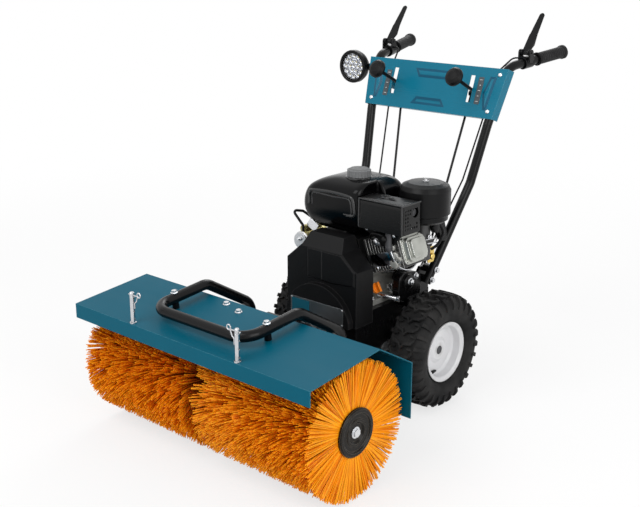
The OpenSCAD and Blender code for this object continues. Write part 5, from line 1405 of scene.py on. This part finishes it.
@dataclass
class PanelDress:
    """The control panel's plain scales beside its slots, painted shade on its pressings' walls, and its
    screws.
    """

    corner: Pair = (788.3, 785.0)
    rise: Pair = (0.3328, 0.9430)
    scales: Outline = ((-160.0, 70.0), (166.0, 76.0))
    scale_size: Pair = (17.0, 78.0)
    marks: int = 5
    mark_size: Place = (9.0, 5.5, 2.0)
    top: Outline = ((-52, 94), (52, 94), (72, 126), (-72, 126))
    side: Outline = ((188, 20), (204, 20), (218, 122), (192, 122), (176, 70))
    low: Outline = ((-66, 14), (66, 14), (46, 42), (-46, 42))
    wall: Outline = ((2.75, 0.0), (10.0, 2.64))
    # coat: how far the painted shade sheets stand off the face
    coat: float = 0.15
    screws: Outline = ((208, 20), (222, 126))
    screw_head: Outline = ((6.2, 0), (6.2, 1.4), (4.6, 3.4), (1.6, 4.0))

    def at(self, x: float | Points, up: float | Points, out: float = 0.0) -> Points:
        """Give a point so far across, up and out of the panel's face."""
        y = self.corner[0] + up * self.rise[0] - out * self.rise[1]
        return np.array((x, y, self.corner[1] + up * self.rise[1] + out * self.rise[0]))

    def build(self) -> None:
        """Lay strips and marks on the face, lay painted shade on the walls of the pressings, and set the
        screws.
        """
        u, v = ACROSS, (0.0, *self.rise)
        w, h = self.scale_size
        strips, marks, screws = Form("panel_scales"), Form("panel_marks"), Form("panel_screws")
        for x, up in self.scales:
            strips.plate(rounded(w, h, 2.5), self.at(x, up), u, v, 0.8)
            for i in range(self.marks):
                size = (self.mark_size[i % 2], self.mark_size[2])
                step = h * ((i + 0.5) / self.marks - 0.5)
                marks.plate(rounded(*size, 0.6, 3), self.at(x, up + step, 0.7), u, v, 0.5)
        # thin darker sheets over the inclined walls of the pressings: painted shade
        shade_walls = Form("panel_pressing_shade")
        side = np.array(self.side, float)
        for outline, way in ((self.top, 1), (side, 1), ((side * (-1, 1))[::-1], 1), (self.low, -1)):
            corners = np.array(outline, float)
            rims = [self.at(*inset(corners, by).T, self.coat + way * out).T for by, out in self.wall]
            shade_walls.grid(np.stack(rims), close=False)
        shade_walls.build(PANEL_WALL_SHADE, "chassis", angle=12)
        normal = self.at(0, 0, 1) - self.at(0, 0, 0)
        for x, up in self.screws:
            for hand in Side:
                screws.lathe(self.screw_head, self.at(hand.value * x, up), normal, 24)
        strips.build(SCALE, "chassis")
        marks.build(MARK, "chassis")
        screws.build(ZINC, "chassis")


@dataclass
class LampFace:
    """The work lamp's reflector cups, chips and domed lens."""

    at: Place = (-307.0, 838.8, 886.0)
    rings: tuple[tuple[int, float], ...] = ((1, 0.0), (6, 15.6), (12, 31.2))
    base: Outline = ((44.4, 4.4), (44.4, 6.2), (1.0, 6.2))
    cup: Outline = ((7.7, 6.1), (7.7, 12.6), (7.1, 12.8), (5.6, 9.6), (3.4, 7.2), (1.0, 6.6))
    chip: Outline = ((2.3, 6.5), (2.3, 7.6), (1.5, 8.4), (0.4, 8.6))
    lip: Outline = (
        *((49.8, 10), (50.6, 15), (49.6, 19.4), (46, 20.8)),
        *((42, 20.0), (40.4, 18.2), (40.6, 17.4), (45, 16.2)),
    )
    dome: Outline = (
        *((1, 16.9), (20, 16.7), (36, 16.0), (43, 14.6), (44.5, 14.6)),
        *((44.5, 15.6), (37, 17.7), (20, 18.3), (1, 18.5)),
    )

    def build(self) -> None:
        """Set cups on a base in rings, with a chip in each, and close them with the bezel and the lens."""
        cups, chips = Form("lamp_reflector"), Form("lamp_chips")
        cups.lathe(self.base, self.at, FRONT, 64)
        for count, radius in self.rings:
            for spot in circle(radius, count):
                middle = np.array(self.at) + (spot[0], 0.0, spot[1])
                cups.lathe(self.cup, middle, FRONT, 20)
                chips.lathe(self.chip, middle, FRONT, 12)
        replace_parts(cups.build(MIRROR, "headlight"), "headlight_lens")
        chips.build(CHIP, "headlight")
        Form("lamp_bezel").lathe(self.lip, self.at, FRONT, 64, ring=True).build(KNOB, "headlight")
        lens = Form("lamp_lens").lathe(self.dome, self.at, FRONT, 64)
        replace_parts(lens.build(GLASS, "headlight", angle=60.0), "headlight_lens")


@dataclass
class Studio:
    """Pale floor, soft light and a camera at the photograph's angle, in the model's metres."""

    floor_half: float = 60.0
    floor_drop: float = 0.0005
    white_share: Pair = (0.72, 0.28)
    fade: Pair = (2.3, 1.2)
    level: float = 0.62
    aim: Place = (0.0, 0.0, 0.5)
    lens: float = 58.13
    eye: Place = (1.76770, -2.12973, 1.27064)
    angles: Place = (41.45, 17.02, 0.127)
    lamps: tuple[tuple[str, Place, float, float], ...] = (
        ("key", (-0.4, -2.8, 3.2), 2.4, 62.0),
        ("fill", (3.3, -1.0, 1.7), 2.2, 48.0),
        ("rim", (-1.4, 2.6, 2.6), 1.8, 30.0),
    )

    def floor(self) -> None:
        """Lay a wide pale floor that fades into white and takes the shadow."""
        g = Graph("studio_floor")
        base = g.mix(g.noise(3.0), dim(WHITE, 0.90), dim(WHITE, 0.92))
        matt = g.node("ShaderNodeBsdfDiffuse", None, {"Color": base})
        white = g.node("ShaderNodeEmission", None, {"Color": WHITE, "Strength": 1.0})
        reach = g.node("ShaderNodeVectorMath", {"operation": "LENGTH"}, {0: g.place()}, "Value")
        near, far = self.white_share
        share = g.shown() * (near + far * reach.above(*self.fade))
        g.close(g.node("ShaderNodeMixShader", None, {0: share, 1: matt, 2: white}))
        mesh = bpy.data.meshes.new("floor")
        half = self.floor_half
        corners = [(-half, -half, 0), (half, -half, 0), (half, half, 0), (-half, half, 0)]
        mesh.from_pydata(corners, [], [(0, 1, 2, 3)])
        mesh.materials.append(g.owner)
        floor = bpy.data.objects.new("floor", mesh)
        floor.location.z = -self.floor_drop
        bpy.context.scene.collection.objects.link(floor)

    def world(self) -> None:
        """Light from all round at a plain level, and show white to the camera, gloss and glass."""
        g = Graph("studio", world=True)
        bpy.context.scene.world = g.owner
        level = g.node("ShaderNodeMapRange", None, {"Value": g.shown(), "To Min": self.level, "To Max": 1.0})
        sky = g.node("ShaderNodeBackground", None, {"Color": WHITE, "Strength": level})
        g.close(sky, "ShaderNodeOutputWorld")

    def lamp(self, name: str, at: Vec, size: float, watts: float) -> None:
        """Hang one square soft lamp that looks at the machine."""
        light = bpy.data.lights.new(name, "AREA")
        light.shape, light.size, light.energy = "SQUARE", size, watts
        lamp = bpy.data.objects.new(name, light)
        lamp.location = at
        lamp.rotation_euler = (Vector(self.aim) - Vector(at)).to_track_quat("-Z", "Y").to_euler()
        bpy.context.scene.collection.objects.link(lamp)

    def camera(self) -> None:
        """Stand the camera where the photograph was taken from."""
        data = bpy.data.cameras.new("camera")
        data.sensor_fit, data.sensor_width, data.lens = "HORIZONTAL", 36.0, self.lens
        camera = bpy.data.objects.new("camera", data)
        azimuth, elevation, roll = (math.radians(a) for a in self.angles)
        turn = Matrix.Rotation(azimuth, 3, "Z") @ Matrix.Rotation(math.pi / 2 - elevation, 3, "X")
        turn = turn @ Matrix.Rotation(roll, 3, "Z")
        camera.matrix_world = Matrix.Translation(self.eye) @ turn.to_4x4()
        bpy.context.scene.collection.objects.link(camera)
        bpy.context.scene.camera = camera

    def build(self) -> None:
        """Set the whole studio."""
        bpy.context.scene.view_settings.view_transform = "Standard"
        self.floor()
        self.world()
        for row in self.lamps:
            self.lamp(*row)
        self.camera()


def dress_nodes() -> None:
    """Give each solid of the frame its finish."""
    for finish, names in NODES_OF.items():
        for name in names.split():
            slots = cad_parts[name].data.materials
            slots.clear()
            slots.append(finish.material())
            LOG.info("%s: %s", name, finish.name)


def main() -> None:
    """Build the sweeper's pieces in order."""
    logging.basicConfig(level=logging.INFO, format="%(name)s %(message)s")
    Studio().build()
    dress_nodes()
    for group in (
        BrushRolls(),
        TreadTyres(),
        WheelTrim(),
        TankShell(),
        EngineDress(),
        FootBracket(),
        CoverDress(),
        PanelDress(),
        LampFace(),
    ):
        group.build()


if __name__ == "__main__":
    main()
